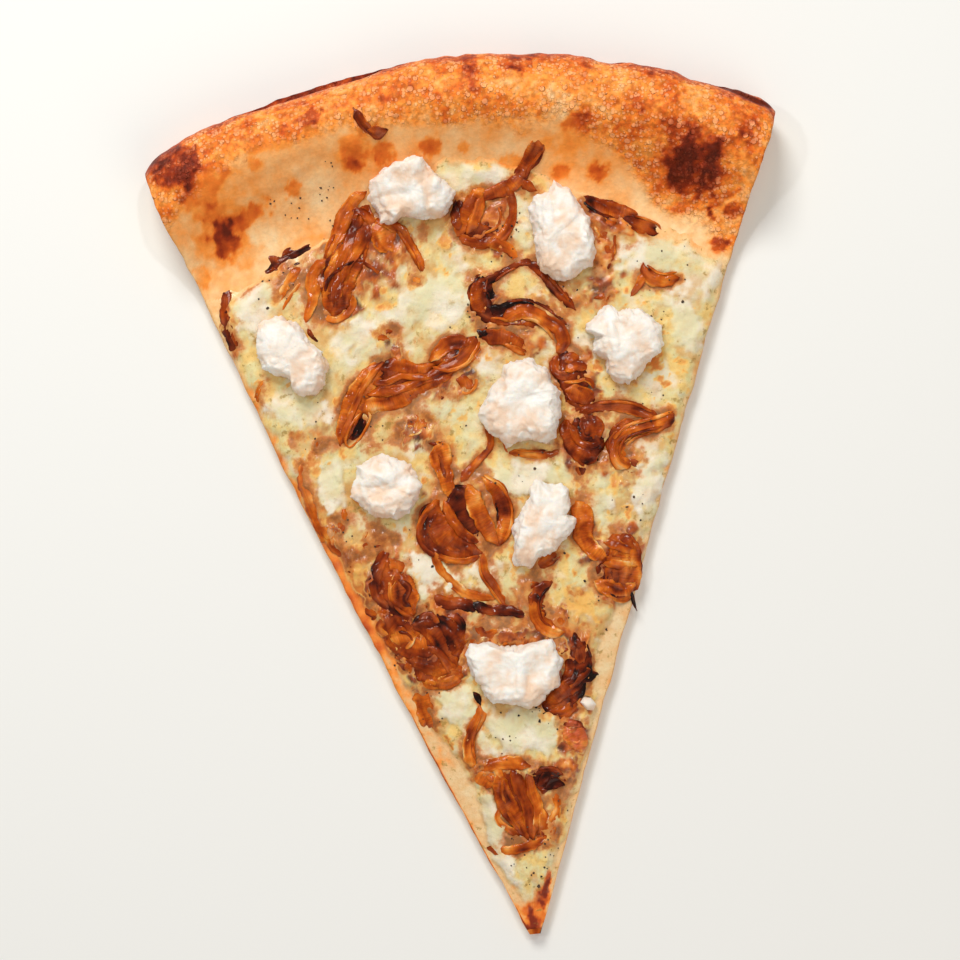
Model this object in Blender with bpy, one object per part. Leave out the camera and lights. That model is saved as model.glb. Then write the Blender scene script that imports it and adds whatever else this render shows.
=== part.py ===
"""A large thin-crust pizza slice with melted cheese, caramelized onion and ricotta.

Blender 4.5, metres, +Z up. The slice lies on its flat underside with its tip towards -Y and
its crust towards +Y, and the origin is at the bottom centre of its bounding box.

Lengths below are named in millimetres and are turned into metres where a mesh is made.
"""

import math

import bmesh
import bpy
from mathutils import Vector, noise

MM = 0.001

# ---------------------------------------------------------------- driving dimensions, mm
TIP_Y = -118.0
TIP_HALF_WIDTH = 1.8
CORNER_X = 84.8
CROWN_Y = 118.2
CRUST_RADIUS = 181.5
LEFT_BOW = 3.0
RIGHT_BOW = -0.9
CORNER_DROP = 2.0
CORNER_SHARE = 0.93

BASE_THICKNESS = 3.8
RIM_WIDTH = 45.0
RIM_PEAK_DEPTH = 12.0
RIM_PEAK_HEIGHT = 19.0
RIM_EQUATOR = 7.0
RIM_EQUATOR_BAND = 1.0
RIM_FOOT_DEPTH = 7.0
RIM_SLOPE_POWER = 1.7
RIM_WAVE = 1.2

CHEESE_THICKNESS = 2.2
CHEESE_EDGE_THICKNESS = 0.7
CHEESE_EDGE_DEPTH = 40.0
CHEESE_LOBE_DEPTH = 14.0
CHEESE_LOBE_X = -9.0
CHEESE_LOBE_WIDTH = 24.0
CHEESE_FADE = 9.0
CHEESE_TIP_SHARE = 0.035
CHEESE_SIDE_INSET = 0.4
CHEESE_RELIEF = 0.55
RELIEF_SIZE = 11.0
POOL_HEIGHT = 0.9

GAP = 0.3
TOPPING_ROOT = 1.4
STRAND_HEIGHT = 2.6
STRAND_ARCH = 0.8
STRAND_WAVE = 0.9
STRAND_WAVE_SIZE = 6.0
END_WIDTH_SHARE = 0.62
END_SAG = 0.35
STRAND_STEP = 5.0
SEED = Vector((3.1, 7.7, 1.3))

DOUGH_COLUMNS = 18
RIM_ROWS = 11
BASE_ROWS = 12
CHEESE_COLUMNS = 24
CHEESE_ROWS = 30

# Thick pools of melted cheese: centre x, y and half axes.
POOLS = [
    (-9, 53, 11, 8), (2, 84, 15, 5), (-31, 45, 9, 7), (-59, 56, 7, 6), (52, 57, 11, 8),
    (56, 40, 4, 9), (8, 5, 10, 4), (40, -1, 6, 8), (-19, -20, 7, 5), (-43, 8, 5, 7),
    (-50, 27, 9, 4), (-3, -63, 10, 7), (-10, -86, 5, 8), (27, -1, 5, 4), (14, 74, 3, 8),
]

# Ricotta dollops: centre x, y, height, and the outline's radius at every 30 degrees from +X.
RICOTTA = {
    "ricotta_1": (-14, 83, 7.5, [12.0, 9.3, 9.6, 8.9, 9.3, 10.1, 11.6, 11.0, 10.3, 7.7, 9.0, 11.0]),
    "ricotta_2": (25.5, 69, 8.0, [8.3, 8.1, 9.2, 12.8, 11.4, 9.7, 8.0, 9.2, 13.3, 14.0, 11.4, 9.4]),
    "ricotta_3": (-50, 43, 7.0, [9.2, 7.0, 7.0, 10.0, 11.4, 10.1, 10.0, 8.7, 6.7, 11.5, 12.3, 9.4]),
    "ricotta_4": (39, 38, 7.0, [10.2, 9.0, 9.4, 8.5, 10.3, 10.8, 8.3, 8.4, 11.4, 12.0, 9.0, 8.6]),
    "ricotta_5": (11, 25, 8.0, [9.6, 8.8, 9.6, 11.0, 9.6, 9.0, 9.6, 10.0, 12.0, 12.3, 12.6, 10.3]),
    "ricotta_6": (-28.5, 5, 6.5, [10.0, 9.5, 8.8, 8.7, 9.2, 8.8, 9.6, 9.0, 7.4, 8.3, 9.4, 9.2]),
    "ricotta_7": (12.5, -8, 6.5, [9.2, 8.4, 11.0, 11.0, 6.9, 7.5, 8.6, 9.3, 13.5, 9.2, 7.9, 8.4]),
    "ricotta_8": (1.5, -47.5, 7.0, [12.5, 13.0, 9.5, 7.2, 9.7, 13.8, 12.0, 11.3, 9.9, 10.0, 10.3, 12.3]),
    "ricotta_9": (20, -57.5, 2.8, [1.7, 1.6, 1.8, 2.2, 2.3, 2.0, 1.8, 1.7, 1.8, 2.1, 2.2, 1.9]),
}

# Onion strands by cluster: each strand is its width and the points that it lies along.
ONION = {
    "onion_1": [
        (4.0, [(-28, 81), (-32, 77), (-36, 70), (-40, 64), (-43, 56), (-46, 50)]),
        (6.5, [(-27, 75), (-31, 70), (-34, 64), (-36, 58), (-37.5, 53)]),
        (2.6, [(-27, 72), (-20, 72), (-16.5, 70.5), (-14, 66), (-12.5, 61)]),
    ],
    "onion_2": [(3.2, [(-46, 65.5), (-49.5, 62), (-52, 58.5), (-53, 56)])],
    "onion_3": [(3.0, [(-57.5, 36), (-59.5, 33.5), (-60.5, 30.5)])],
    "onion_4": [(2.4, [(-65, 62), (-66.5, 57), (-66, 51), (-65, 46)])],
    "onion_5": [(2.6, [(-57, 66), (-52, 67.5), (-47, 69.5), (-43, 70.5)])],
    "onion_6": [(2.8, [(-26.5, 104.5), (-24.5, 101.5), (-22, 98.5), (-18, 98.5)])],
    "onion_7": [
        (4.5, [(1, 44), (-3, 39), (-9, 36), (-15, 34.5), (-21, 35.5), (-27, 36), (-32, 31.5),
               (-36, 25), (-38.5, 18.5)]),
        (4.0, [(-0.5, 43.5), (-6, 43), (-11, 40.5), (-13, 36)]),
        (3.0, [(-11, 33), (-18, 30.5), (-24, 29.5), (-32, 31)]),
        (2.6, [(-31, 24), (-34, 20.5), (-38, 18)]),
        (3.2, [(0, 43), (6, 42.5), (9.5, 40.5), (12.5, 38)]),
    ],
    "onion_8": [
        (3.0, [(16, 61.5), (11, 61), (6, 58), (2.5, 54.5), (2.5, 50.5), (7, 48.5), (12, 49.5),
               (17, 47.5), (21, 44.5), (22.5, 40), (21.5, 36.5)]),
        (2.4, [(15, 61.5), (19.5, 57), (23, 52), (26, 48)]),
    ],
    "onion_9": [
        (4.2, [(21.5, 92), (18, 90), (15.5, 86), (12, 82.5), (8, 80.5), (3, 80)]),
        (3.6, [(4, 80.5), (2, 76), (3, 71.5), (7, 68.5), (11, 66.5)]),
        (3.4, [(10, 80), (12, 75), (9.5, 70), (4, 68.5), (-1, 71), (-2, 76), (1, 80)]),
    ],
    "onion_10": [
        (4.2, [(35.5, 75.5), (39, 74.5), (43, 72.5), (46, 69.5), (51, 67.5)]),
        (4.0, [(37.5, 74.5), (37.5, 68), (38, 62), (36.5, 58.5)]),
    ],
    "onion_11": [
        (3.4, [(54.5, 53.2), (50, 53.4), (45.5, 54.5)]),
        (2.4, [(46.3, 57.5), (46, 54.5), (44, 51.5), (42.2, 50)]),
    ],
    "onion_12": [
        (3.0, [(22.5, 30), (24, 33.5), (27.5, 34)]),
        (2.6, [(22.5, 31), (23, 28), (28, 27.5), (27, 23)]),
    ],
    "onion_13": [
        (4.6, [(22.5, 17.5), (22.5, 12), (25.5, 9), (29.5, 11), (29.5, 16), (26, 18)]),
        (4.0, [(26, 18), (26, 10)]),
        (3.0, [(28, 18.5), (34, 20.3), (39, 19.3), (44, 17.2)]),
        (3.4, [(29, 12), (34, 14.2), (40, 14.5), (45, 15.3), (49, 16.3)]),
        (3.4, [(33, 13), (33.8, 9), (35, 5.5), (37, 4)]),
    ],
    "onion_14": [(2.2, [(5.5, 10.6), (10, 10.2), (15, 9.6), (19, 9.8)])],
    "onion_15": [
        (4.2, [(-14, 15), (-13, 9.5), (-11, 4.5), (-10.5, -1), (-8, -7), (-5.5, -12)]),
        (6.5, [(-12, 1), (-17.5, -3), (-18, -9), (-13, -14), (-7, -14.5)]),
        (4.6, [(-8, 4.5), (-6, -1), (-5, -6), (-2.5, -11)]),
        (3.6, [(-6, 5.5), (0, 2), (2, -3.5), (1, -9), (-3, -13)]),
        (2.2, [(0.5, 17), (0.8, 14), (-2, 11), (-5.5, 8), (-9, 5.5)]),
        (2.4, [(-4.5, -12), (-4, -18), (-2, -23), (-1, -26)]),
        (2.8, [(-17, -12), (-14.5, -19), (-11, -22.5), (-8, -24)]),
    ],
    "onion_16": [
        (2.6, [(-48.5, 13.5), (-49, 9), (-48.5, 5), (-47, 1), (-46.5, -4), (-43.5, -8)]),
        (2.4, [(-39.5, 1), (-41, -1), (-41.8, -5), (-44.5, -7)]),
    ],
    "onion_17": [(2.6, [(-33, -5), (-34, -8.5), (-37, -10.5)])],
    "onion_18": [
        (7.0, [(-29, -16), (-28, -21), (-25, -26)]),
        (3.0, [(-33.5, -19), (-32, -25), (-26, -28)]),
    ],
    "onion_19": [
        (3.4, [(-17, -26.5), (-12.5, -28), (-7, -29.5), (-1, -31), (5, -32)]),
        (5.0, [(-30, -36), (-25, -35.5), (-20, -34), (-14, -29)]),
        (6.5, [(-20, -33), (-17, -38), (-14.5, -43)]),
        (3.4, [(-25, -42.5), (-20, -44.5), (-13, -43)]),
    ],
    "onion_20": [(4.4, [(12.5, -25), (9.5, -28.5), (9.5, -33), (12.5, -36.5)])],
    "onion_21": [(3.4, [(10, -21), (14.5, -18.5)])],
    "onion_22": [
        (5.2, [(23.5, -5), (23.5, -10), (24, -15), (28, -19.5)]),
        (9.0, [(31, -14), (31.5, -19), (30.5, -25)]),
    ],
    "onion_23": [(4.2, [(16.5, -40), (17.8, -45), (18.3, -50), (14.5, -54.5), (9.5, -57.5)])],
    "onion_24": [(3.8, [(-24.5, -50), (-23.3, -55), (-22.3, -60)])],
    "onion_25": [(2.8, [(-9, -54), (-9, -57.5), (-12, -62), (-13.5, -66.5), (-13.5, -70)])],
    "onion_26": [(6.0, [(15, -64.5), (14.5, -69)])],
    "onion_27": [
        (3.6, [(-9, -73.5), (-4, -73), (1, -73.5), (6, -75.5)]),
        (4.6, [(-4.5, -73), (-3.5, -80), (-1.5, -86), (0, -93)]),
        (3.0, [(0.5, -73), (1.5, -80), (3, -86), (1, -92)]),
        (6.0, [(4, -76), (9, -77)]),
        (2.6, [(-8.5, -93.5), (-5, -94), (0, -93.5), (4.5, -92)]),
        (2.4, [(-8.5, -73.5), (-7.5, -78), (-5.5, -83), (-3, -87)]),
    ],
}

COLOURS = {
    "dough": ((0.74, 0.43, 0.19), 0.70),
    "cheese": ((0.85, 0.77, 0.50), 0.42),
    "ricotta": ((0.93, 0.89, 0.81), 0.60),
    "onion": ((0.36, 0.12, 0.03), 0.25),
}


# ---------------------------------------------------------------- plan and height formulas, mm
def smooth(t):
    t = min(max(t, 0.0), 1.0)
    return t * t * (3 - 2 * t)


def arc_point(u):
    """The outer edge of the crust; u runs from -1 at the left corner to 1 at the right."""
    x = u * CORNER_X
    y = CROWN_Y - CRUST_RADIUS + math.sqrt(CRUST_RADIUS**2 - x**2)
    corner = max(0.0, abs(u) - CORNER_SHARE) / (1 - CORNER_SHARE)
    return x, y - CORNER_DROP * corner**2


def ray_length(u):
    x, y = arc_point(u)
    return math.hypot(x - u * TIP_HALF_WIDTH, y - TIP_Y)


def plan(u, v):
    """The place in the slice at share v of the way from the tip's end to the crust's edge."""
    arc_x, arc_y = arc_point(u)
    bow = (RIGHT_BOW if u > 0 else LEFT_BOW) * 4 * v * (1 - v)
    return u * (TIP_HALF_WIDTH * (1 - v) + bow) + arc_x * v, TIP_Y + (arc_y - TIP_Y) * v


def unplan(x, y):
    """The (u, v) whose place in the slice is x, y."""
    u = 0.0
    for _ in range(6):
        v = (y - TIP_Y) / (arc_point(u)[1] - TIP_Y)
        bow = (RIGHT_BOW if x > 0 else LEFT_BOW) * 4 * v * (1 - v)
        u = x / (TIP_HALF_WIDTH * (1 - v) + bow + CORNER_X * v)
        u = min(max(u, -1.0), 1.0)
    return u, v


def rim_height(depth, x):
    """The dough's top, by depth in from the crust's edge."""
    peak = RIM_PEAK_HEIGHT + RIM_WAVE * noise.noise(SEED + Vector((x / 24, 0, 0)))
    if depth < RIM_PEAK_DEPTH:
        start = RIM_EQUATOR + RIM_EQUATOR_BAND / 2
        bend = 1 - depth / RIM_PEAK_DEPTH
        return start + (peak - start) * math.sqrt(max(0.0, 1 - bend**2))
    fall = 1 - smooth((depth - RIM_PEAK_DEPTH) / (RIM_WIDTH - RIM_PEAK_DEPTH))
    return BASE_THICKNESS + (peak - BASE_THICKNESS) * fall**RIM_SLOPE_POWER


def foot_height(depth):
    """The dough's underside: flat, and rounded up to the crust's equator."""
    bend = max(0.0, 1 - depth / RIM_FOOT_DEPTH)
    return (RIM_EQUATOR - RIM_EQUATOR_BAND / 2) * (1 - math.sqrt(1 - bend**2))


def cheese_edge_depth(x):
    lobe = math.exp(-(((x - CHEESE_LOBE_X) / CHEESE_LOBE_WIDTH) ** 2))
    return CHEESE_EDGE_DEPTH - CHEESE_LOBE_DEPTH * lobe


def pool_rise(x, y):
    rise = 0.0
    for pool_x, pool_y, half_x, half_y in POOLS:
        away = math.hypot((x - pool_x) / half_x, (y - pool_y) / half_y)
        rise = max(rise, smooth(1.6 - away))
    return rise


def bed_height(x, y):
    """The top of what toppings lie on: the cheese, or the bare dough beyond its edge."""
    u, v = unplan(x, y)
    depth = (1 - v) * ray_length(u)
    cover = smooth((depth - cheese_edge_depth(x)) / CHEESE_FADE)
    dough = rim_height(depth, x)
    if depth < cheese_edge_depth(x):
        return dough
    relief = CHEESE_RELIEF * noise.noise(SEED + Vector((x, y, 0)) / RELIEF_SIZE)
    thick = CHEESE_THICKNESS + relief + POOL_HEIGHT * pool_rise(x, y)
    return dough + GAP + CHEESE_EDGE_THICKNESS + (thick - CHEESE_EDGE_THICKNESS) * cover


# ---------------------------------------------------------------- mesh helpers
def material(kind):
    colour, roughness = COLOURS[kind]
    made = bpy.data.materials.get(kind) or bpy.data.materials.new(kind)
    made.use_nodes = True
    shader = made.node_tree.nodes["Principled BSDF"]
    shader.inputs["Base Color"].default_value = (*colour, 1.0)
    shader.inputs["Roughness"].default_value = roughness
    made.diffuse_color = (*colour, 1.0)
    return made


def add_object(name, shape, kind, collection):
    """Makes an object, in metres, from a bmesh in millimetres."""
    bmesh.ops.scale(shape, vec=(MM, MM, MM), verts=shape.verts)
    bmesh.ops.recalc_face_normals(shape, faces=shape.faces)
    mesh = bpy.data.meshes.new(name)
    shape.to_mesh(mesh)
    shape.free()
    mesh.materials.append(material(kind))
    mesh.shade_smooth()
    mesh.set_sharp_from_angle(angle=math.radians(50))
    made = bpy.data.objects.new(name, mesh)
    collection.objects.link(made)
    return made


def slab(columns, rows, top, bottom):
    """A grid of unit (s, t) places, extruded down; top and bottom give each place's x, y, z."""
    shape = bmesh.new()
    bmesh.ops.create_grid(shape, x_segments=columns, y_segments=rows, size=1.0)
    raised = bmesh.ops.extrude_face_region(shape, geom=shape.faces[:])
    upper = {v for v in raised["geom"] if isinstance(v, bmesh.types.BMVert)}
    for vertex in shape.verts:
        surface = top if vertex in upper else bottom
        vertex.co = surface(vertex.co.x, (vertex.co.y + 1) / 2)
    return shape


def as_cutter(made):
    made.hide_render = True
    made.display_type = "WIRE"


def cut(made, cutter, name):
    modifier = made.modifiers.new(name, "BOOLEAN")
    modifier.operation = "DIFFERENCE"
    modifier.object = cutter


def fused(name, pieces, collection):
    """One object from overlapping pieces, joined by a Boolean union."""
    first, others = pieces[0], pieces[1:]
    if others:
        joined = bpy.data.collections.new(name + "_strands")
        for other in others:
            joined.objects.link(other)
        union = first.modifiers.new("strands", "BOOLEAN")
        union.operation = "UNION"
        union.operand_type = "COLLECTION"
        union.collection = joined
        graph = bpy.context.evaluated_depsgraph_get()
        mesh = bpy.data.meshes.new_from_object(first.evaluated_get(graph))
        first.modifiers.clear()
        first.data = mesh
        for other in others:
            bpy.data.objects.remove(other)
        bpy.data.collections.remove(joined)
    first.name = name
    return first


# ---------------------------------------------------------------- the pieces
def dough_depth(t, length):
    """Depth from the crust's edge of a row at share t from the tip: rows crowd to the edge."""
    rim_share = RIM_ROWS / (RIM_ROWS + BASE_ROWS)
    if t > 1 - rim_share:
        return RIM_WIDTH * ((1 - t) / rim_share) ** 1.7
    return RIM_WIDTH + (length - RIM_WIDTH) * (1 - t / (1 - rim_share))


def build_dough(name, collection, lift=0.0):
    def place(u, t):
        length = ray_length(u)
        depth = dough_depth(t, length)
        return (*plan(u, 1 - depth / length), depth)

    def top(u, t):
        x, y, depth = place(u, t)
        return x, y, rim_height(depth, x) + lift

    def bottom(u, t):
        x, y, depth = place(u, t)
        return x, y, foot_height(depth) + lift

    shape = slab(DOUGH_COLUMNS, RIM_ROWS + BASE_ROWS, top, bottom)
    return add_object(name, shape, "dough", collection)


def build_cheese(name, collection, cutter=False):
    """The cheese, or a cutter that clears it by GAP all round and reaches below the dough."""
    spread = GAP if cutter else 0.0

    def place(u, t, spread=0.0):
        length = ray_length(u)
        edge_x = arc_point(u)[0] * (1 - CHEESE_EDGE_DEPTH / length)
        first = CHEESE_TIP_SHARE - spread / length
        last = 1 - (cheese_edge_depth(edge_x) + 0.01 - spread) / length
        x, y = plan(u, first + (last - first) * t)
        inset = u * (CHEESE_SIDE_INSET - 2 * spread)
        return x - inset, y

    def top(u, t):
        return *place(u, t, spread), bed_height(*place(u, t)) + spread * (1 + t**8)

    def bottom(u, t):
        x, y = place(u, t)
        cell = unplan(x, y)
        depth = (1 - cell[1]) * ray_length(cell[0])
        return *place(u, t, spread), -GAP if cutter else rim_height(depth, x) + GAP

    shape = slab(CHEESE_COLUMNS, CHEESE_ROWS, top, bottom)
    return add_object(name, shape, "cheese", collection)


def outline_radius(radii, angle):
    """The outline's radius at an angle, smoothly between its stated radii."""
    step = angle / (2 * math.pi) * len(radii)
    index = int(math.floor(step))
    share = smooth(step - index)
    return radii[index % len(radii)] * (1 - share) + radii[(index + 1) % len(radii)] * share


def build_ricotta(name, collection, grow=0.0):
    centre_x, centre_y, height, radii = RICOTTA[name]
    small = height < 4
    shape = bmesh.new()
    bmesh.ops.create_uvsphere(
        shape, u_segments=10 if small else 18, v_segments=6 if small else 9, radius=1.0
    )
    floor = bed_height(centre_x, centre_y)
    for vertex in shape.verts:
        x, y, z = vertex.co
        flat = math.hypot(x, y)
        radius = outline_radius(radii, math.atan2(y, x) % (2 * math.pi)) * flat**0.8 + grow * flat
        along = math.atan2(y, x)
        lump = 1 + 0.16 * noise.noise(SEED * 3 + vertex.co * 2.6)
        at_x = centre_x + radius * math.cos(along)
        at_y = centre_y + radius * math.sin(along)
        rise = (height + grow) * max(z, 0) ** 0.7 * lump if z > 0 else TOPPING_ROOT * z
        bed = floor + (bed_height(at_x, at_y) - floor) * flat
        vertex.co = (at_x, at_y, bed + GAP + rise)
    return add_object(name, shape, "ricotta", collection)


def along_route(points):
    """Places along a smooth line through the points, about STRAND_STEP apart, with headings."""
    places = []
    for index in range(len(points) - 1):
        before = Vector(points[max(index - 1, 0)])
        start, end = Vector(points[index]), Vector(points[index + 1])
        after = Vector(points[min(index + 2, len(points) - 1)])
        steps = max(1, round((end - start).length / STRAND_STEP))
        for step in range(steps):
            t = step / steps
            places.append(
                0.5 * (2 * start + (end - before) * t
                       + (2 * before - 5 * start + 4 * end - after) * t**2
                       + (3 * start - before - 3 * end + after) * t**3)
            )
    places.append(Vector(points[-1]))
    last = len(places) - 1
    return [
        (place, (places[min(i + 1, last)] - places[max(i - 1, 0)]).normalized())
        for i, place in enumerate(places)
    ]


def build_strand(name, width, points, number, collection):
    """A strip with an arched, uneven top that lies along its points and is rooted in the bed."""
    route = along_route(points)
    stations = len(route) - 1
    wander = SEED * (5 + number)

    def is_end(t):
        return min(t, 1 - t) * stations < 0.5

    def place(s, t):
        middle, heading = route[round(t * stations)]
        half = width / 2 * (END_WIDTH_SHARE if is_end(t) else 1.0)
        return middle.x - heading.y * s * half, middle.y + heading.x * s * half

    def top(s, t):
        x, y = place(-s, t)
        wave = STRAND_WAVE * noise.noise(wander + Vector((x, y, 0)) / STRAND_WAVE_SIZE)
        height = STRAND_HEIGHT - STRAND_ARCH * s**2 - (END_SAG if is_end(t) else 0.0) + wave
        return x, y, bed_height(x, y) + GAP + height

    def bottom(s, t):
        x, y = place(-s, t)
        return x, y, bed_height(x, y) - TOPPING_ROOT

    return add_object(name, slab(2, stations, top, bottom), "onion", collection)


def main():
    for old in list(bpy.data.objects):
        bpy.data.objects.remove(old)
    scene = bpy.context.scene
    parts = bpy.data.collections.new("pizza_slice")
    cutters = bpy.data.collections.new("cutters")
    scene.collection.children.link(parts)
    scene.collection.children.link(cutters)

    build_dough("dough", parts)
    build_cheese("cheese", parts)
    dough_cutter = build_dough("dough_cutter", cutters, lift=GAP)
    cheese_cutter = build_cheese("cheese_cutter", cutters, cutter=True)
    as_cutter(dough_cutter)
    as_cutter(cheese_cutter)

    dollop_cutters = []
    for name in RICOTTA:
        dollop = build_ricotta(name, parts)
        cut(dollop, cheese_cutter, "rests_on_cheese")
        cut(dollop, dough_cutter, "rests_on_dough")
        grown = build_ricotta(name, cutters, grow=2 * GAP)
        grown.name = name + "_cutter"
        as_cutter(grown)
        dollop_cutters.append((name, grown))

    for name, strands in ONION.items():
        pieces = [
            build_strand(f"{name}_{number}", width, points, number, parts)
            for number, (width, points) in enumerate(strands)
        ]
        cluster = fused(name, pieces, parts)
        cut(cluster, cheese_cutter, "rests_on_cheese")
        cut(cluster, dough_cutter, "rests_on_dough")
        for dollop_name, grown in dollop_cutters:
            cut(cluster, grown, "clear_of_" + dollop_name)


main()
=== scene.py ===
"""The finish of a caramelized onion pizza slice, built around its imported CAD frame.

Lengths are in millimetres until a mesh is made, and every place is in the frame's axes:
+Y from the tip to the crust, +X to the right seen from above, +Z up.
"""

import math

import bmesh
import bpy
import numpy as np
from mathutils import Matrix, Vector, noise


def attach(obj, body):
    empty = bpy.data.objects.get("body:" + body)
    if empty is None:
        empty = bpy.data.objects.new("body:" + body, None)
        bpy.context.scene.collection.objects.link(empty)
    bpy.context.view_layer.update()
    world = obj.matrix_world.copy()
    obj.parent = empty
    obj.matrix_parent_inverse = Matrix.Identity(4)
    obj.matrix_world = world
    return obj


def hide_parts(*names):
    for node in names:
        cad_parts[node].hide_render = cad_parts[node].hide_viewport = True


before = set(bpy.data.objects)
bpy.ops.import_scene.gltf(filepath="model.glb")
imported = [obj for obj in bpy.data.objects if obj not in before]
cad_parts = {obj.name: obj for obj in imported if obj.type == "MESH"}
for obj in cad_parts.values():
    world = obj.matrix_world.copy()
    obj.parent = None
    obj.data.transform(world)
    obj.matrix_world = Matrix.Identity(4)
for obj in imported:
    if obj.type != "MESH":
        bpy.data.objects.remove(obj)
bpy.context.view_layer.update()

MM = 0.001

# ---------------------------------------------------------------- sizes shared with the solids
TIP_Y = -118.0
TIP_HALF_WIDTH = 1.8
CORNER_X = 84.8
CROWN_Y = 118.2
CRUST_RADIUS = 181.5
LEFT_BOW = 3.0
RIGHT_BOW = -0.9
CORNER_DROP = 2.0
CORNER_SHARE = 0.93
BASE_THICKNESS = 3.8
RIM_WIDTH = 45.0
RIM_PEAK_DEPTH = 12.0
RIM_PEAK_HEIGHT = 19.0
RIM_EQUATOR = 7.0
RIM_EQUATOR_BAND = 1.0
RIM_FOOT_DEPTH = 7.0
RIM_SLOPE_POWER = 1.7
RIM_WAVE = 1.2
CHEESE_THICKNESS = 2.2
CHEESE_EDGE_DEPTH = 40.0
CHEESE_LOBE_DEPTH = 15.0
CHEESE_LOBE_X = 3.0
CHEESE_LOBE_WIDTH = 30.0
CHEESE_FADE = 9.0
POOL_HEIGHT = 0.9
WAVE_LENGTH = 24
SEED = Vector((3.1, 7.7, 1.3))
HALF_ANGLE = math.radians(21)

# ---------------------------------------------------------------- resolution
CELL = 0.5
GRID_HALF_X = 88
GRID_HALF_Y = 121
DOUGH_COLUMNS = 320
DOUGH_RIM_ROWS = 96
DOUGH_BASE_ROWS = 76
CHEESE_COLUMNS = 224
CHEESE_ROWS = 336
UNDERSIDE_STEP = 4
# How far down a cut side the points between its top and its bottom lie.
CUT_SHARE = np.linspace(0.06, 0.94, 17)
CHEESE_SHARE = (0.3, 0.65)
STRAND_STEP = 0.48
BROAD_STRAND = 3.8  # from this mean width on, the fibres run across a strand
RICOTTA_SPOKES = 240
RICOTTA_RINGS = 40
RICOTTA_FACETS = 7
FACET_SHARPNESS = 14
RICOTTA_CURDS = 6

# ---------------------------------------------------------------- colours, by how far baked
BAKE_RAMP = [
    (0.00, (253, 234, 190)), (0.14, (252, 209, 152)), (0.28, (251, 184, 114)),
    (0.42, (252, 156, 66)), (0.56, (236, 124, 42)), (0.70, (204, 86, 26)),
    (0.84, (142, 46, 16)), (1.00, (72, 24, 12)),
]
ONION_RAMP = [
    (0.00, (24, 6, 2)), (0.16, (80, 20, 3)), (0.32, (126, 42, 4)), (0.48, (162, 66, 8)),
    (0.62, (192, 90, 16)), (0.76, (220, 120, 34)), (0.90, (238, 158, 72)),
    (1.00, (246, 198, 134)),
]
ONION_SHEEN = (190, 110, 70)
ONION_ROSY = (224, 112, 78)
ROSY_PLACE = (15.4, -67, 4, 5, 0)
CHEESE_GREEN = (226, 220, 168)
CHEESE_TAN = (220, 178, 112)
CHEESE_WHITE = (242, 236, 220)
CHEESE_MILKY = (226, 222, 184)
CHEESE_YELLOW = (242, 204, 122)
CHEESE_SHADOW = (232, 212, 172)
CHEESE_LIGHT = (255, 255, 250)
CHEESE_OIL = (166, 132, 62)
TOAST_HALO = (242, 188, 96)
TOAST_BROWN = (214, 112, 34)
STAIN_AMBER = (226, 164, 84)
STAIN_RUST = (196, 110, 44)
STAIN_BROWN = (132, 62, 22)
MASH_PALE = (228, 182, 130)
DOUGH_FLOURY = (226, 194, 148)
BUBBLE_PALE = (252, 204, 156)
BUBBLE_GAIN = (1.5, 1.4, 1.4, 1.0)
# Small bubbles in the crust's skin: dots to a metre, and the smallest and largest dot's size.
LARGE_BUBBLES = (520.0, 0.0, 0.50)
SMALL_BUBBLES = (980.0, 0.15, 0.60)
RICOTTA_WHITE = (244, 244, 240)
# Ricotta's peach: its random warm tone, and its painted shade in hollows and on the lower side.
RICOTTA_PEACH_AND_SHADE = (240, 210, 182)
# The painted contact shadow at a dollop's foot.
RICOTTA_FOOT_SHADOW = (226, 172, 128)
RICOTTA_SHADOW = (250, 238, 226)
RICOTTA_LIGHT = (255, 255, 253)
PEPPER_DARK = (34, 24, 18)
PEPPER_PALE = (92, 66, 44)
FLOOR_PALE = (238, 240, 238)
WHITE = (1.0, 1.0, 1.0)


def srgb(colour):
    """Linear red, green and blue of an sRGB colour from 0 to 255."""
    value = np.asarray(colour, dtype=float) / 255
    return np.where(value <= 0.04045, value / 12.92, ((value + 0.055) / 1.055) ** 2.4)


def ramp(stops, level):
    """The colour at a level between the stops."""
    places = [place for place, _ in stops]
    shades = np.array([srgb(colour) for _, colour in stops])
    return np.stack([np.interp(level, places, shades[:, i]) for i in range(3)], axis=-1)


def smooth(t):
    t = np.clip(t, 0.0, 1.0)
    return t * t * (3 - 2 * t)


def blend(first, second, share):
    return first + (second - first) * np.asarray(share)[..., None]


# ---------------------------------------------------------------- repeatable noise
def hashed(ix, iy, iz, seed):
    """A repeatable value from 0 to 1 for each whole-number place."""
    h = ix * 374761393 + iy * 668265263 + iz * 224682251 + seed * 326648991
    h = (h ^ (h >> 13)) & 0xFFFFFFFF
    h = (h * 1274126177) & 0xFFFFFFFF
    return ((h ^ (h >> 16)) & 0xFFFF) / 65535.0


def grain(x, y, z=0.0, size=1.0, seed=0):
    """Smooth noise from about -1 to 1 whose features are about size across."""
    x, y, z = np.broadcast_arrays(np.asarray(x, float), y, z)
    place = [axis / size for axis in (x, y, z)]
    whole = [np.floor(axis).astype(np.int64) for axis in place]
    part = [axis - start for axis, start in zip(place, whole)]
    fade = [t**3 * (t * (t * 6 - 15) + 10) for t in part]
    total = 0.0
    for dx in (0, 1):
        for dy in (0, 1):
            for dz in (0, 1):
                corner = (whole[0] + dx, whole[1] + dy, whole[2] + dz)
                lean = [hashed(*corner, seed * 3 + i) * 2 - 1 for i in range(3)]
                offset = (part[0] - dx, part[1] - dy, part[2] - dz)
                weight = 1.0
                for share, far in zip(fade, (dx, dy, dz)):
                    weight = weight * (share if far else 1 - share)
                total = total + weight * sum(a * b for a, b in zip(lean, offset))
    return total * 1.5


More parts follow.
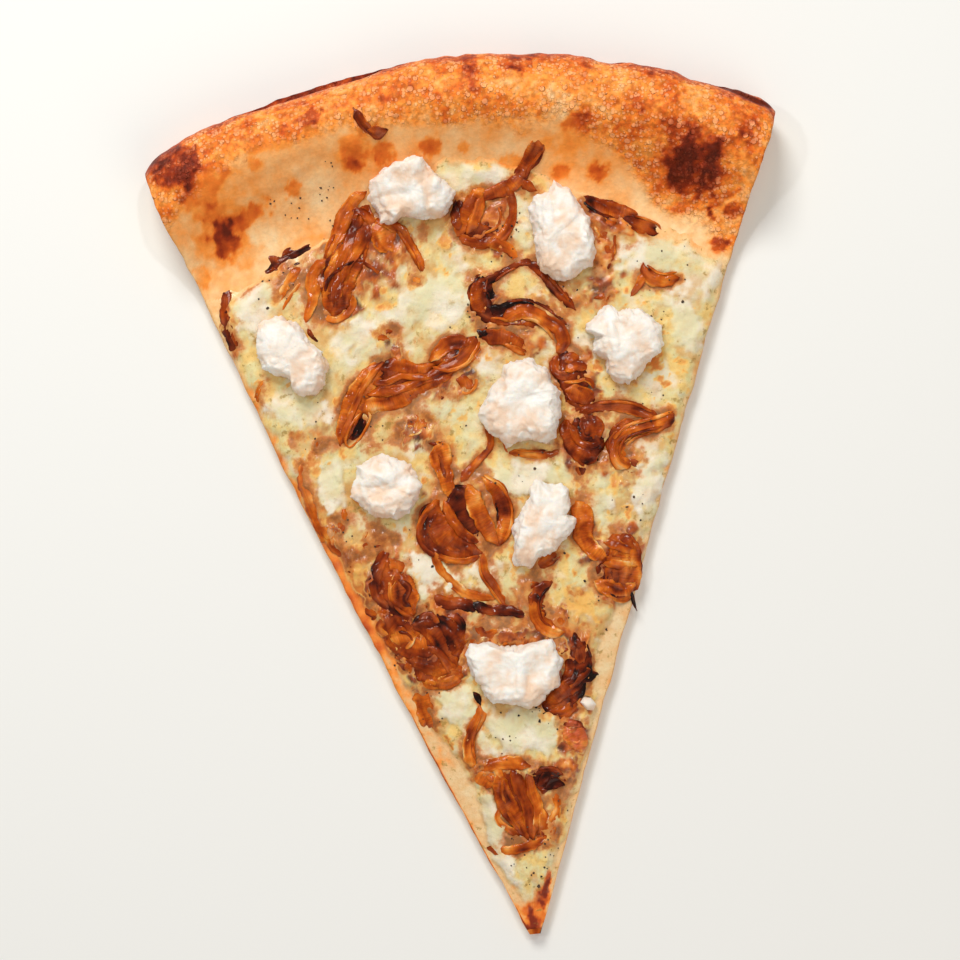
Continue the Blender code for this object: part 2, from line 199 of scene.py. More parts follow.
def fractal(x, y, z=0.0, size=1.0, seed=0, octaves=3):
    """Smooth noise with finer noise over it, each octave half the size of the last."""
    total = 0.0
    for octave in range(octaves):
        total = total + grain(x, y, z, size / 2**octave, seed + octave * 17) / 1.8**octave
    return total


def cells(x, y, size, seed):
    """Distance to the nearest of scattered points, in sizes, and that point's own value."""
    px, py = x / size, y / size
    ix, iy = np.floor(px).astype(np.int64), np.floor(py).astype(np.int64)
    nearest = np.full(np.shape(px), 9.0)
    value = np.zeros(np.shape(px))
    for dx in (-1, 0, 1):
        for dy in (-1, 0, 1):
            cx, cy = ix + dx, iy + dy
            away = np.hypot(
                px - cx - 0.1 - 0.8 * hashed(cx, cy, 0, seed),
                py - cy - 0.1 - 0.8 * hashed(cx, cy, 1, seed),
            )
            closer = away < nearest
            value = np.where(closer, hashed(cx, cy, 2, seed), value)
            nearest = np.minimum(away, nearest)
    return nearest, value


# ---------------------------------------------------------------- the slice's plan and heights
def arc_y(u):
    """The crust's outer edge: its y at share u of the half width, from -1 (left) to 1."""
    x = u * CORNER_X
    corner = np.maximum(0.0, np.abs(u) - CORNER_SHARE) / (1 - CORNER_SHARE)
    return CROWN_Y - CRUST_RADIUS + np.sqrt(CRUST_RADIUS**2 - x**2) - CORNER_DROP * corner**2


def bow(side, v):
    """How far a cut side bows out at share v of the way from the tip to the crust."""
    return np.where(side > 0, RIGHT_BOW, LEFT_BOW) * 4 * v * (1 - v)


def ray_length(u):
    """The distance from the tip to the crust's edge along the line u."""
    return np.hypot(u * (CORNER_X - TIP_HALF_WIDTH), arc_y(u) - TIP_Y)


def plan(u, v):
    """The place at share u across and share v of the way to the crust."""
    x = u * (TIP_HALF_WIDTH * (1 - v) + bow(u, v) + CORNER_X * v)
    return x, TIP_Y + (arc_y(u) - TIP_Y) * v


def unplan(x, y):
    """The shares u and v of a place."""
    u = np.zeros(np.shape(x))
    for _ in range(6):
        v = (y - TIP_Y) / (arc_y(u) - TIP_Y)
        width = TIP_HALF_WIDTH * (1 - v) + bow(x, v) + CORNER_X * v
        u = np.clip(x / np.maximum(width, 0.5), -1, 1)
    return u, v


def edge_depth(x, y):
    """Distance in from the crust's outer edge."""
    u, v = unplan(x, y)
    return (1 - v) * ray_length(u)


def side_depth(x, y):
    """Distance in from the nearer cut side, and whether that is the right side."""
    _, v = unplan(x, y)
    half = TIP_HALF_WIDTH * (1 - v) + bow(x, v) + CORNER_X * v
    return (half - np.abs(x)) * math.cos(HALF_ANGLE), x > 0


WAVE_X = np.arange(-90, 91, 2.0)
WAVE = np.array([noise.noise(SEED + Vector((x / WAVE_LENGTH, 0, 0))) for x in WAVE_X])

# Places where the crust's dark lower lip shows past its rounded top: centre x, half width, reach.
LIPS = [(-37, 22, 2.6), (41, 5, 1.0), (66, 7, 1.0)]


def lip_reach(x):
    """How far in the dark lower lip shows."""
    reach = 0.0
    for centre, half, most in LIPS:
        reach = reach + most * smooth(1.35 - np.abs(x - centre) / half)
    return reach


def rim_height(depth, x):
    """The dough's top: round outside the rim's peak, sloping to the flat base inside it."""
    peak = RIM_PEAK_HEIGHT + RIM_WAVE * np.interp(x, WAVE_X, WAVE)
    start = RIM_EQUATOR + RIM_EQUATOR_BAND / 2
    bend = np.clip(1 - depth / RIM_PEAK_DEPTH, 0, 1)
    outer = start + (peak - start) * np.sqrt(np.maximum(0.0, 1 - bend**2))
    fall = 1 - smooth((depth - RIM_PEAK_DEPTH) / (RIM_WIDTH - RIM_PEAK_DEPTH))
    inner = BASE_THICKNESS + (peak - BASE_THICKNESS) * fall**RIM_SLOPE_POWER
    return np.where(depth < RIM_PEAK_DEPTH, outer, inner)


def foot_height(depth):
    """The height of the crust's rounded lower edge over the floor."""
    bend = np.clip(1 - depth / RIM_FOOT_DEPTH, 0, 1)
    return (RIM_EQUATOR - RIM_EQUATOR_BAND / 2) * (1 - np.sqrt(1 - bend**2))


def cheese_edge_depth(x):
    """How far in from the crust's edge the cheese begins; its middle reaches nearer."""
    lobe = np.exp(-(((x - CHEESE_LOBE_X) / CHEESE_LOBE_WIDTH) ** 2))
    return CHEESE_EDGE_DEPTH - CHEESE_LOBE_DEPTH * lobe


def spot(x, y, place, ragged=0.22, seed=5):
    """1 at the middle of a ragged oval place (x, y, half axes, turn), 0 outside it."""
    centre_x, centre_y, half_x, half_y, turn = place
    c, s = math.cos(math.radians(turn)), math.sin(math.radians(turn))
    dx, dy = x - centre_x, y - centre_y
    away = np.hypot((dx * c + dy * s) / half_x, (dy * c - dx * s) / half_y)
    near = away < 2.2
    shift = np.zeros(np.shape(away))
    if near.any():
        size = 0.55 * math.sqrt(half_x * half_y) + 0.6
        xx, yy = np.broadcast_arrays(x, y)
        shift[near] = grain(xx[near], yy[near], 0.0, size, seed)
        shift[near] += 0.5 * grain(xx[near], yy[near], 0.0, 0.4 * size, seed + 1)
    return smooth(1.45 - away - ragged * 1.6 * shift)


# ---------------------------------------------------------------- baked marks on the crust
# Each mark: x, y, half axes, turn in degrees, how much further baked its middle is.
CRUST_MARKS = [
    (-74, 94, 7.5, 5.5, 40, 0.50), (-68, 88, 8, 5, 40, 0.24), (-80, 98, 6, 4, 20, 0.22),
    (-65, 75, 4.2, 5.2, 20, 0.50), (-58, 80, 8, 2.6, 30, 0.34), (-66, 76, 8, 7, 20, 0.22),
    (-72, 66, 3, 3.4, 0, 0.26), (-45, 86.5, 2.6, 2.4, 0, 0.34), (-38, 103.5, 3.4, 2.4, 10, 0.36),
    (-47, 99, 12, 3.2, 12, 0.16), (-54, 93, 2.0, 1.8, 0, 0.16), (-28.5, 94, 4.4, 4.6, 0, 0.22),
    (-28.5, 91, 3.2, 1.6, -10, 0.30), (-20.5, 93, 2.8, 3.4, 0, 0.30), (-8, 93.5, 3.0, 2.4, 0, 0.34),
    (1, 93, 1.8, 1.8, 0, 0.20), (5, 112, 2.2, 6.5, 8, 0.26), (17, 112.5, 4.5, 2.6, 0, 0.22),
    (-3, 101, 1.2, 2.6, 5, 0.24), (32, 96.5, 4.6, 2.4, 5, 0.34), (36, 83.5, 2.9, 2.6, 0, 0.36),
    (26, 84.5, 2.6, 2.2, 0, 0.24), (14, 88, 3.6, 3, 0, 0.20), (2, 84, 2, 1.4, 0, 0.14),
    (61, 83.5, 9.5, 9.0, 0, 0.30), (61, 82, 6.6, 6.0, 0, 0.34), (60, 90, 4.5, 3.5, 20, 0.22),
    (66, 86, 3, 4.4, 0, 0.18), (53, 81, 4, 7, -10, 0.14), (70.5, 69.5, 2.3, 2.3, 0, 0.38),
    (66.5, 61.5, 2.7, 2.5, 0, 0.42), (65, 69.5, 1.0, 1.9, 20, 0.45), (63, 73, 9, 2.2, 5, 0.26),
    (70, 95, 9, 5, -25, 0.12), (78, 99, 6, 2.4, -28, 0.24), (47, 96, 6, 4, 0, 0.12),
    (-56, 101, 14, 3.4, 22, 0.12), (44, 92, 3, 3, 0, 0.10), (29, 92, 7, 3, 0, 0.08),
    (-60, 70, 5, 2.5, 20, 0.14), (-45, 72, 6, 2, 15, 0.10), (56, 106, 9, 3, -18, 0.10),
    (-20, 108, 10, 3.5, 6, 0.10), (76, 88, 4, 7, 10, 0.12),
]
# Raised blisters on the crust: x, y, radius, height.
BLISTERS = [
    (61, 83.5, 9.5, 1.3), (58, 80.5, 3.0, 0.8), (63, 81, 2.6, 0.9), (60.5, 86.5, 2.6, 0.8),
    (65.5, 85.5, 2.6, 0.8), (57.5, 85, 2.2, 0.7), (62, 77.5, 2.4, 0.6), (66, 79.5, 2.0, 0.6),
    (-74, 94, 8.5, 0.8), (-28, 96, 2.6, 0.5), (-31, 92.5, 2.0, 0.4), (-45, 86.5, 2.4, 0.35),
    (17, 111, 5, 0.5), (-12, 112, 6, 0.5), (-50, 108, 7, 0.6), (36, 108, 6, 0.6), (6, 104, 5, 0.4),
    (72, 93, 5, 0.6), (-65, 75, 4.5, 0.5), (66.5, 61.5, 2.4, 0.5), (70.5, 69.5, 2.2, 0.4),
    (-60, 98, 6, 0.5), (48, 88, 4, 0.4),
]
# The largest blister's torn skin: x, y, half axes, turn.
ROUGH_BLISTER = (61, 83, 9, 8.5, 0)
# The crease under the flap at the crust's right corner, whose darkness is painted shade, and folds on
# the inner slope: points, width, depth.
CREASES = [
    ([(71, 102.5), (75, 100), (79, 97.5), (82.5, 96.0)], 0.9, 1.6),
    ([(-62, 80), (-52, 84), (-44, 88), (-36, 93)], 1.6, 0.35),
    ([(-58, 87), (-48, 91), (-40, 94)], 1.4, 0.3),
]


def strongest(x, y, marks, ragged, seed_step, seed_start, gain=1.0):
    """The strongest of the marks at each place; every mark has a raggedness of its own."""
    level = np.zeros(np.shape(x))
    for *place, strength in marks:
        shape = spot(x, y, place, ragged, int(place[0] * seed_step + seed_start))
        level = np.maximum(level, gain * strength * shape)
    return level


def line_distance(x, y, points):
    """Distance to a line of straight stretches between the points."""
    best = np.full(np.shape(x), 1e3)
    for (ax, ay), (bx, by) in zip(points[:-1], points[1:]):
        length = math.hypot(bx - ax, by - ay)
        along = ((x - ax) * (bx - ax) + (y - ay) * (by - ay)) / length**2
        along = np.clip(along, 0, 1)
        best = np.minimum(best, np.hypot(x - ax - along * (bx - ax), y - ay - along * (by - ay)))
    return best


def band_inner(x):
    """How far in the browned, blistered outer band reaches."""
    return np.interp(x, [-85, -60, -35, 0, 25, 42, 52, 85], [19, 13, 15, 20, 19, 24, 38, 40])


def outer_band(x, y, depth):
    """1 on the browned outer band and 0 inside it."""
    edge = band_inner(x) + 3.2 * fractal(x, y, 0, 9, 21, 3)
    return smooth((edge - depth) / 7 + 0.5)


def crust_bake(x, y, depth, z=0.0):
    """How far baked the crust is, from 0 (pale) to 1 (burnt), with painted shade in the flap's crease.
    """
    band = outer_band(x, y, depth)
    level = 0.30 + 0.15 * fractal(x, y, z, 15, 31, 3)
    level = level - 0.11 * smooth((depth - 22) / 14)
    level = level + band * (0.20 + 0.14 * fractal(x, y, z, 6, 41, 3))
    level = level + (1 - band) * (0.07 * fractal(x, y, z, 4, 42, 3))
    level = level + 0.16 * smooth(1.6 - depth / 2.6) - 0.05 * smooth(1 - np.abs(depth - 9) / 7)
    level = level + 0.26 * smooth(lip_reach(x) * 0.9 - depth + 0.6)
    for *place, more in CRUST_MARKS:
        soft = spot(x, y, place, 0.34, int(place[0] * 3 + 700))
        level = level + more * (0.52 * soft + 0.48 * smooth(2.3 * soft - 0.85))
    # Painted shade: the crease under the flap is darkened as if further baked.
    flap, flap_width, _ = CREASES[0]
    level = level + 0.5 * smooth(1.3 - line_distance(x, y, flap) / flap_width)
    speckle = fractal(x, y, z, 1.7, 51, 2)
    level = level + (0.04 + 0.12 * band) * speckle
    level = level + 0.20 * smooth((level - 0.62) / 0.14) * fractal(x, y, z, 3.4, 52, 3)
    return np.clip(np.where(level > 0.68, 0.68 + 0.62 * (level - 0.68), level), 0, 0.95)


def crust_relief(x, y, depth):
    """Height that blisters, bubbles and creases add to the crust."""
    band = outer_band(x, y, depth)
    relief = 0.25 * fractal(x, y, 0, 12, 61, 3)
    near, value = cells(x, y, 2.3, 71)
    relief = relief + band * 0.34 * smooth(1.2 - 2.4 * near) * smooth(value * 2 - 0.5)
    near, value = cells(x, y, 1.15, 72)
    relief = relief + band * 0.17 * smooth(1.25 - 2.4 * near) * smooth(value * 2 - 0.3)
    for centre_x, centre_y, radius, height in BLISTERS:
        away = np.hypot(x - centre_x, y - centre_y) / radius
        relief = relief + height * smooth(1.15 - away)
    rough = spot(x, y, ROUGH_BLISTER, seed=9)
    torn = 0.55 * fractal(x, y, 0, 2.6, 73, 3) - 0.5 * np.abs(grain(x, y, 0, 1.5, 74))
    relief = relief + rough * torn
    for points, width, deep in CREASES:
        relief = relief - deep * np.exp(-((line_distance(x, y, points) / width) ** 2))
    return relief * smooth(depth / 2.5) * smooth((50 - depth) / 12)


# ---------------------------------------------------------------- melted cheese
# Thick pools: x, y, half axes, turn, rise.  They stand a little proud and stay whitest.
POOLS = [
    (-9, 53, 10, 7.5, 10, 0.9), (2, 84, 17, 5, 0, 0.5), (-31, 45, 8, 6, 20, 0.6),
    (-59, 56, 7, 6, 30, 0.6), (52, 60, 13, 7, -10, 0.6), (56, 40, 4, 9, 15, 0.7),
    (8, 4, 10, 4.5, 0, 0.8), (43, -3, 5.5, 9, 15, 0.9), (-19, -19, 6.5, 5.5, 0, 0.9),
    (-43, 6, 3.6, 6.5, 10, 0.9), (-50, 27, 9, 4, -10, 0.5), (1, -63, 11, 6.5, 0, 0.9),
    (-14, -55, 6, 6, 0, 0.8), (-9.5, -86, 4, 8, 18, 0.9), (28, -4, 3.6, 5.5, 0, 0.6),
    (14.5, 73, 3, 9, 0, 0.5), (-5, -21, 3.5, 4.5, 0, 0.7), (19, 47, 4, 6, 0, 0.3),
    (-6.5, -98, 3, 5, 20, 0.5), (24, 42, 4, 5, 0, 0.3), (-25, 50, 5, 4, 0, 0.4),
    (-13, 25, 6, 3.5, 0, 0.5), (3, 33, 5, 6, 0, 0.4), (60, 52, 6, 6, 0, 0.4),
]
# Onion-stained cheese: x, y, half axes, turn, strength.
STAINS = [
    (-25, 18, 11, 5, 10, 0.8), (-48, 19, 7, 4, -20, 0.8), (35, 26, 7, 4, 0, 0.5),
    (30, -31, 9, 7, 0, 0.7), (-38, -15, 6, 9, 10, 0.8), (-22, -38, 13, 12, 20, 0.9),
    (-20, 73, 10, 6, -20, 0.7), (-57, 63, 9, 3.4, 12, 0.8), (-26, 60, 5, 8, 0, 0.4),
    (2, 55, 6, 4, 0, 0.5), (22, 55, 8, 5, -20, 0.5), (45, 66, 10, 5, -10, 0.6),
    (26, 10, 6, 5, 0, 0.5), (38, 5, 4, 8, 0, 0.7), (20, -45, 6, 9, 0, 0.7),
    (16, -67, 5, 6, 0, 0.7), (9, -80, 6, 9, 0, 0.5), (-24, -57, 3, 8, 20, 0.6),
    (15, -34, 8, 7, 0, 0.55), (-30, -6, 8, 7, 0, 0.5), (60, 20, 4, 5, 0, 0.25),
    (36, 62, 5, 9, 0, 0.35), (-10, 30, 12, 4, 0, 0.4), (-12, 10, 5, 12, 0, 0.4),
    (0, -88, 7, 9, 0, 0.5), (-11, -76, 4, 5, 0, 0.4), (6, -24, 8, 6, 0, 0.4),
    (56, 70, 10, 3, -8, 0.5), (22, 20, 6, 10, 0, 0.3), (-16, 46, 3, 6, 0, 0.3),
]
# Toasted spots on the cheese: x, y, half axes, turn, how far baked.
TOASTS = [
    (-39, 29, 1.6, 1.5, 0, 0.42), (-58, 29, 1.5, 1.4, 0, 0.44), (-54, 25, 2.0, 0.9, 0, 0.32),
    (-36, 43, 4, 3, 30, 0.30), (-24, 53, 4, 1.6, 0, 0.42), (-34, 52, 3, 2, 0, 0.28),
    (31, 32, 1.8, 1.8, 0, 0.42), (46, 31.5, 2.6, 2.2, 0, 0.50), (9, 7, 3.4, 1.8, 15, 0.40),
    (53.5, 31, 2, 1.3, 0, 0.40), (49, 25.5, 1.2, 1.0, 0, 0.4), (62.5, 41, 1.0, 2.2, 0, 0.45),
    (66, 52, 1.2, 1.6, 0, 0.30), (55, 22, 1.8, 2.0, 0, 0.34), (47.5, -2, 2.2, 2.4, 0, 0.42),
    (42, -1, 2.4, 2, 0, 0.34), (-53, 6, 1.4, 1.0, 0, 0.4), (-50, -2, 1.3, 4, 10, 0.45),
    (-6, 22, 1.6, 1.2, 0, 0.32), (-10, 16.5, 1.6, 1.5, 0, 0.34), (-4, 10, 1.5, 1, 0, 0.3),
    (4.5, -17, 2, 4, 0, 0.42), (-38, -19, 4, 9, 20, 0.52), (-33, -33, 4, 6, 20, 0.5),
    (-24, -47, 5, 3, 20, 0.34), (-19.5, -66, 2.4, 3.6, 20, 0.50), (-25, -56, 2, 6, 15, 0.45),
    (-14, -47, 4, 2.5, 30, 0.44), (21, -30, 5, 4, 0, 0.30), (12, -61, 3.0, 2.0, 0, 0.30),
    (17, -74, 3, 4, 0, 0.40), (11, -88, 2.4, 4, 0, 0.34), (5, -92, 5, 2.2, 0, 0.30),
    (22, 64, 1.4, 1.2, 0, 0.3), (-41, 57, 2, 2, 0, 0.3), (-62, 33, 1.6, 3.0, 10, 0.30),
    (-66, 47, 1.2, 2.4, 0, 0.30), (41, -22, 2.4, 5, 12, 0.42), (33, 1, 2, 3, 0, 0.36),
    (-20, 29, 3, 2, 0, 0.42), (-23.5, 27, 1.4, 1.4, 0, 0.5), (51, 5, 2, 3, 0, 0.22),
    (56, 13, 2, 3, 0, 0.20), (-45, -3, 3, 4, 0, 0.38), (-47, 14, 2, 5, 10, 0.40),
]
# Onion cooked down to a mash on the cheese: x, y, half axes, turn, strength.
MASH = [
    (-24.5, 43, 2.2, 5.4, 32, 0.95), (-18.7, 19.4, 4.2, 3.4, 0, 0.95), (-12, 27, 2.4, 2.8, 0, 0.7),
    (-46, -8, 3.4, 5.0, -20, 0.9), (-39, -27, 3.2, 6.5, 20, 0.9), (-37, -16, 3.4, 5, 0, 0.55),
    (-34.5, -34, 4.2, 4.5, 10, 0.9), (-30, -29, 5, 4, 0, 0.85), (-23, -40, 9, 6, -10, 1.0),
    (-17, -31, 8, 4.6, 0, 1.0), (-18, -45, 8, 4, 15, 0.9), (-13.5, -37, 4, 8, 0, 1.0),
    (-27, -48, 4, 2.6, 20, 0.6), (-28, -22, 7, 8, 0, 0.9), (2, -38.2, 13, 2.2, 0, 0.8),
    (17.5, -43, 4, 7, 10, 0.85), (14, -54, 8, 4, -25, 0.9), (12, -60.5, 5, 3, 0, 0.7),
    (15.5, -66.5, 4.5, 5, 0, 0.9), (11, -74, 6, 4, 0, 0.7), (5, -91, 6, 4.5, 0, 0.6),
    (-7, -73, 6, 3, 0, 0.7), (2, 53, 5, 6, 0, 0.95), (35, 60, 4.2, 11, 0, 0.75),
    (33, 52.5, 4, 4.5, 0, 0.7), (-22, 70, 6, 6, 0, 0.8), (-31, 63, 8, 13, -25, 0.8),
    (5, 73, 8, 8, 0, 0.9), (25, 13, 7, 8, 0, 0.85), (26, 28, 5, 7, 0, 0.7),
    (32, -21, 8, 10, 0, 0.85), (36, 3, 4.5, 6, 0, 0.6), (-49, 68, 8, 2.6, 12, 0.7),
    (-66, 54, 2.2, 9, 0, 0.8), (-8, 33, 8, 4, 20, 0.7), (16, 45, 8, 6, 0, 0.55),
    (13, 40, 6, 3, -30, 0.6), (-11, -4, 11, 13, 0, 0.6), (8, -30, 5, 7, 0, 0.5),
    (-43, 20, 8, 3.5, -20, 0.45), (-47, 0, 4, 8, 0, 0.5), (14, -35, 6, 4, 0, 0.6),
    (40, 70, 8, 3.4, -20, 0.8), (-14, 62, 3, 4, 0, 0.5), (24, 51, 4, 5, -30, 0.5),
]
# Charred places at the tip: x, y, half axes, turn, how much further baked.
TIP_CHAR = [
    (1.5, -112, 2.4, 6.5, -14, 0.52), (4.6, -103.5, 1.0, 3.6, -14, 0.62),
    (0, -116, 2.2, 2.6, 0, 0.30), (3.2, -107.5, 1.6, 3, -10, 0.30),
    (-1.8, -111.5, 1.4, 1.6, 0, 0.25),
]
# How far baked the bare margin at the left cut side is: y, level.
MARGIN_BAKE = (
    [-118, -100, -78, -60, -42, -30, -12, 0, 40],
    [0.30, 0.16, 0.14, 0.24, 0.42, 0.54, 0.52, 0.36, 0.26])
# The bare margins' widths at the two cut sides: y, width.
LEFT_MARGIN = (
    [-118, -92, -82, -72, -58, -40, -22, -5, 20, 75],
    [2.2, 1.8, 5.5, 5.5, 3.2, 2.8, 2.4, 1.0, 0.8, 0.4])
RIGHT_MARGIN = (
    [-118, -95, -80, -62, -45, -30, -18, 20, 75],
    [1.6, 1.6, 1.0, 1.2, 4.4, 3.0, 0.7, 0.4, 0.5])


def margin_width(y, right):
    """The width of the bare dough along a cut side."""
    return np.where(right, np.interp(y, *RIGHT_MARGIN), np.interp(y, *LEFT_MARGIN))


def pool_level(x, y):
    """How deep in a thick pool of cheese a place is."""
    return strongest(x, y, POOLS, 0.45, 5, 900)


def mash_level(x, y):
    """How much mashed onion lies at a place; pools of cheese cover it."""
    level = strongest(x, y, MASH, 0.55, 13, 3100)
    return level * (1 - 0.8 * smooth(1.2 * pool_level(x, y)))


def tip_char(x, y, level, bare=0.0):
    """Chars the tip: how far baked it is then, and how bare of cheese."""
    for *place, more in TIP_CHAR:
        burnt = spot(x, y, place, 0.4, int(place[1] * -3))
        level = level + more * burnt
        bare = np.maximum(bare, burnt)
    return level, bare


def mash_folds(x, y):
    """The creased surface of the mash, from -1 in its creases to 1 on its folds."""
    bend_x = x + 1.6 * grain(x, y, 0, 4.0, 141)
    bend_y = y + 1.6 * grain(x, y, 0, 4.0, 142)
    folds = 1 - 2.6 * np.abs(grain(bend_x, bend_y, 0, 3.2, 143))
    fine = 1 - 2.6 * np.abs(grain(bend_x, bend_y, 0, 1.4, 144))
    return np.clip(0.65 * folds + 0.35 * fine, -1, 1)


def cheese_thickness(x, y, depth, side, right):
    """The melted cheese's thickness, under 0 where the dough is bare."""
    ragged = 2.6 * fractal(x, y, 0, 8, 81, 3)
    cover = smooth((depth - cheese_edge_depth(x) + ragged) / CHEESE_FADE)
    away = side - margin_width(y, right) - 0.9 * fractal(x, y, 0, 4.5, 82, 2)
    cover = cover * (0.12 + 0.88 * smooth(away / 3.6 + 0.35))
    cover = cover * smooth((y - TIP_Y - 3) / 14)
    lumps = 0.50 * fractal(x, y, 0, 6.5, 83, 3)
    curds = 0.16 * fractal(x, y, 0, 1.7, 84, 2)
    near, value = cells(x, y, 2.6, 85)
    curds = curds + 0.20 * smooth(1.2 - 2 * near) * smooth(value * 2 - 0.9)
    pools = POOL_HEIGHT * pool_level(x, y)
    mash = mash_level(x, y)
    full = CHEESE_THICKNESS - 0.2 + lumps + curds * (1 - 0.5 * smooth(pools)) + pools
    full = full + mash * (0.50 + 0.85 * mash_folds(x, y))
    return -0.5 + (full + 0.5) * cover


def make_grid():
    """A level grid over the slice: its first corner and the height of the bed's top."""
    xs = np.arange(-GRID_HALF_X, GRID_HALF_X + CELL, CELL)
    ys = np.arange(-GRID_HALF_Y, GRID_HALF_Y + CELL, CELL)
    x, y = np.meshgrid(xs, ys)
    depth = edge_depth(x, y)
    side, right = side_depth(x, y)
    thick = cheese_thickness(x, y, depth, side, right)
    bed = rim_height(depth, x) + crust_relief(x, y, depth) + np.maximum(thick, 0)
    return {"x0": xs[0], "y0": ys[0], "bed": bed}


GRID = make_grid()


def cell_of(x, y):
    """The row and the column of the grid's cell nearest to each place."""
    ix = np.round((x - GRID["x0"]) / CELL).astype(int)
    return np.round((y - GRID["y0"]) / CELL).astype(int), ix


def sample(field, x, y):
    """The field's value at each place, between its cells."""
    px = np.clip((x - GRID["x0"]) / CELL, 0, field.shape[1] - 1.001)
    py = np.clip((y - GRID["y0"]) / CELL, 0, field.shape[0] - 1.001)
    ix, iy = px.astype(int), py.astype(int)
    fx, fy = px - ix, py - iy
    low = field[iy, ix] * (1 - fx) + field[iy, ix + 1] * fx
    high = field[iy + 1, ix] * (1 - fx) + field[iy + 1, ix + 1] * fx
    return low * (1 - fy) + high * fy


def blurred(field, size):
    """The field smoothed over about size millimetres."""
    reach = int(3 * size / CELL)
    weights = np.exp(-0.5 * (np.arange(-reach, reach + 1) * CELL / size) ** 2)
    weights = weights / weights.sum()
    for axis in (0, 1):
        total = np.zeros(field.shape)
        for step, weight in zip(range(-reach, reach + 1), weights):
            total += weight * np.roll(field, step, axis)
        field = total
    return field


# ---------------------------------------------------------------- ricotta outlines
# Each dollop: centre, height, and its outline seen from above.
RICOTTA = {
    "ricotta_1": ((-14, 83), 7.6, [
        (-25.8, 82), (-25, 86.5), (-21, 89.5), (-18, 91), (-14, 91.8), (-10.5, 91.5), (-8, 88),
        (-4, 84.5), (-2, 81.5), (-3, 78.5), (-5, 77), (-7, 75.2), (-12, 75.5), (-17, 76.5),
        (-20, 74.5), (-23, 75.5), (-24, 78.5)]),
    "ricotta_2": ((25.5, 68.5), 8.2, [
        (24, 82.5), (28, 80), (30, 76), (32.5, 71.5), (33.5, 67), (33.5, 62), (32, 58.5),
        (28.5, 57), (26, 55), (21, 56), (18, 58.5), (17.5, 63), (17, 70), (16.5, 75), (18, 79),
        (22, 79.5)]),
    "ricotta_3": ((-50, 43), 7.2, [
        (-57, 53), (-52, 53.5), (-48, 51.5), (-46, 49), (-44.5, 45.5), (-41, 42.5), (-40.5, 39),
        (-42, 34), (-44, 32), (-48, 30.8), (-50.5, 33), (-51, 36), (-55, 37.5), (-58, 39.5),
        (-59.8, 44), (-59, 49)]),
    "ricotta_4": ((39, 38), 7.2, [
        (36, 47.8), (36.5, 45.8), (41, 47), (44, 46), (47, 43.5), (49, 41), (49, 36), (48, 34),
        (44, 31), (42, 28.5), (39, 26), (35, 27.5), (33, 30), (33, 33), (29.8, 36), (31, 40),
        (28, 42), (31, 45.5), (34, 47.8)]),
    "ricotta_5": ((11, 25), 8.2, [
        (8, 35.5), (14, 35.5), (17.5, 32.5), (20.5, 26), (19.8, 20), (18, 14), (15.5, 12.5),
        (10, 14), (5, 13), (0, 17), (-2, 22), (0, 26), (4, 31), (6, 34.5)]),
    "ricotta_6": ((-28.5, 5), 6.6, [
        (-30.5, 14), (-25, 12.5), (-21, 10.5), (-19.5, 7), (-18.5, 5), (-20, 1), (-23, -2),
        (-26, -4), (-30, -3), (-33.5, -1.5), (-36, 1.5), (-38.5, 3.5), (-37, 7), (-35.5, 9),
        (-35.5, 11.5)]),
    "ricotta_7": ((12.5, -8), 6.6, [
        (11.5, 3.3), (15, 1.8), (18, 2), (20.3, 0.5), (20.5, -4), (19.5, -6.5), (21.5, -8),
        (20.5, -11.5), (17.5, -14), (14, -16.5), (10, -18), (8, -20), (5, -19.8), (3, -17.5),
        (4, -14), (4, -9), (6, -5), (9.5, -1.5), (10, 1.5)]),
    "ricotta_8": ((1.5, -47), 7.2, [
        (-10, -38.5), (-6, -38), (-1, -40.2), (4, -40.3), (8, -39), (12, -39.2), (13, -42),
        (14, -46), (12.8, -49), (13, -52), (9, -54), (7.5, -56.5), (4, -57.5), (0, -56),
        (-5, -55), (-8, -53), (-8.5, -50), (-10.5, -47), (-11, -44.5), (-12, -41)]),
    "ricotta_9": ((19.8, -57.6), 2.6, [
        (18, -57), (19, -56), (20.6, -56.4), (21.7, -58), (21, -59.4), (19.6, -59)]),
}

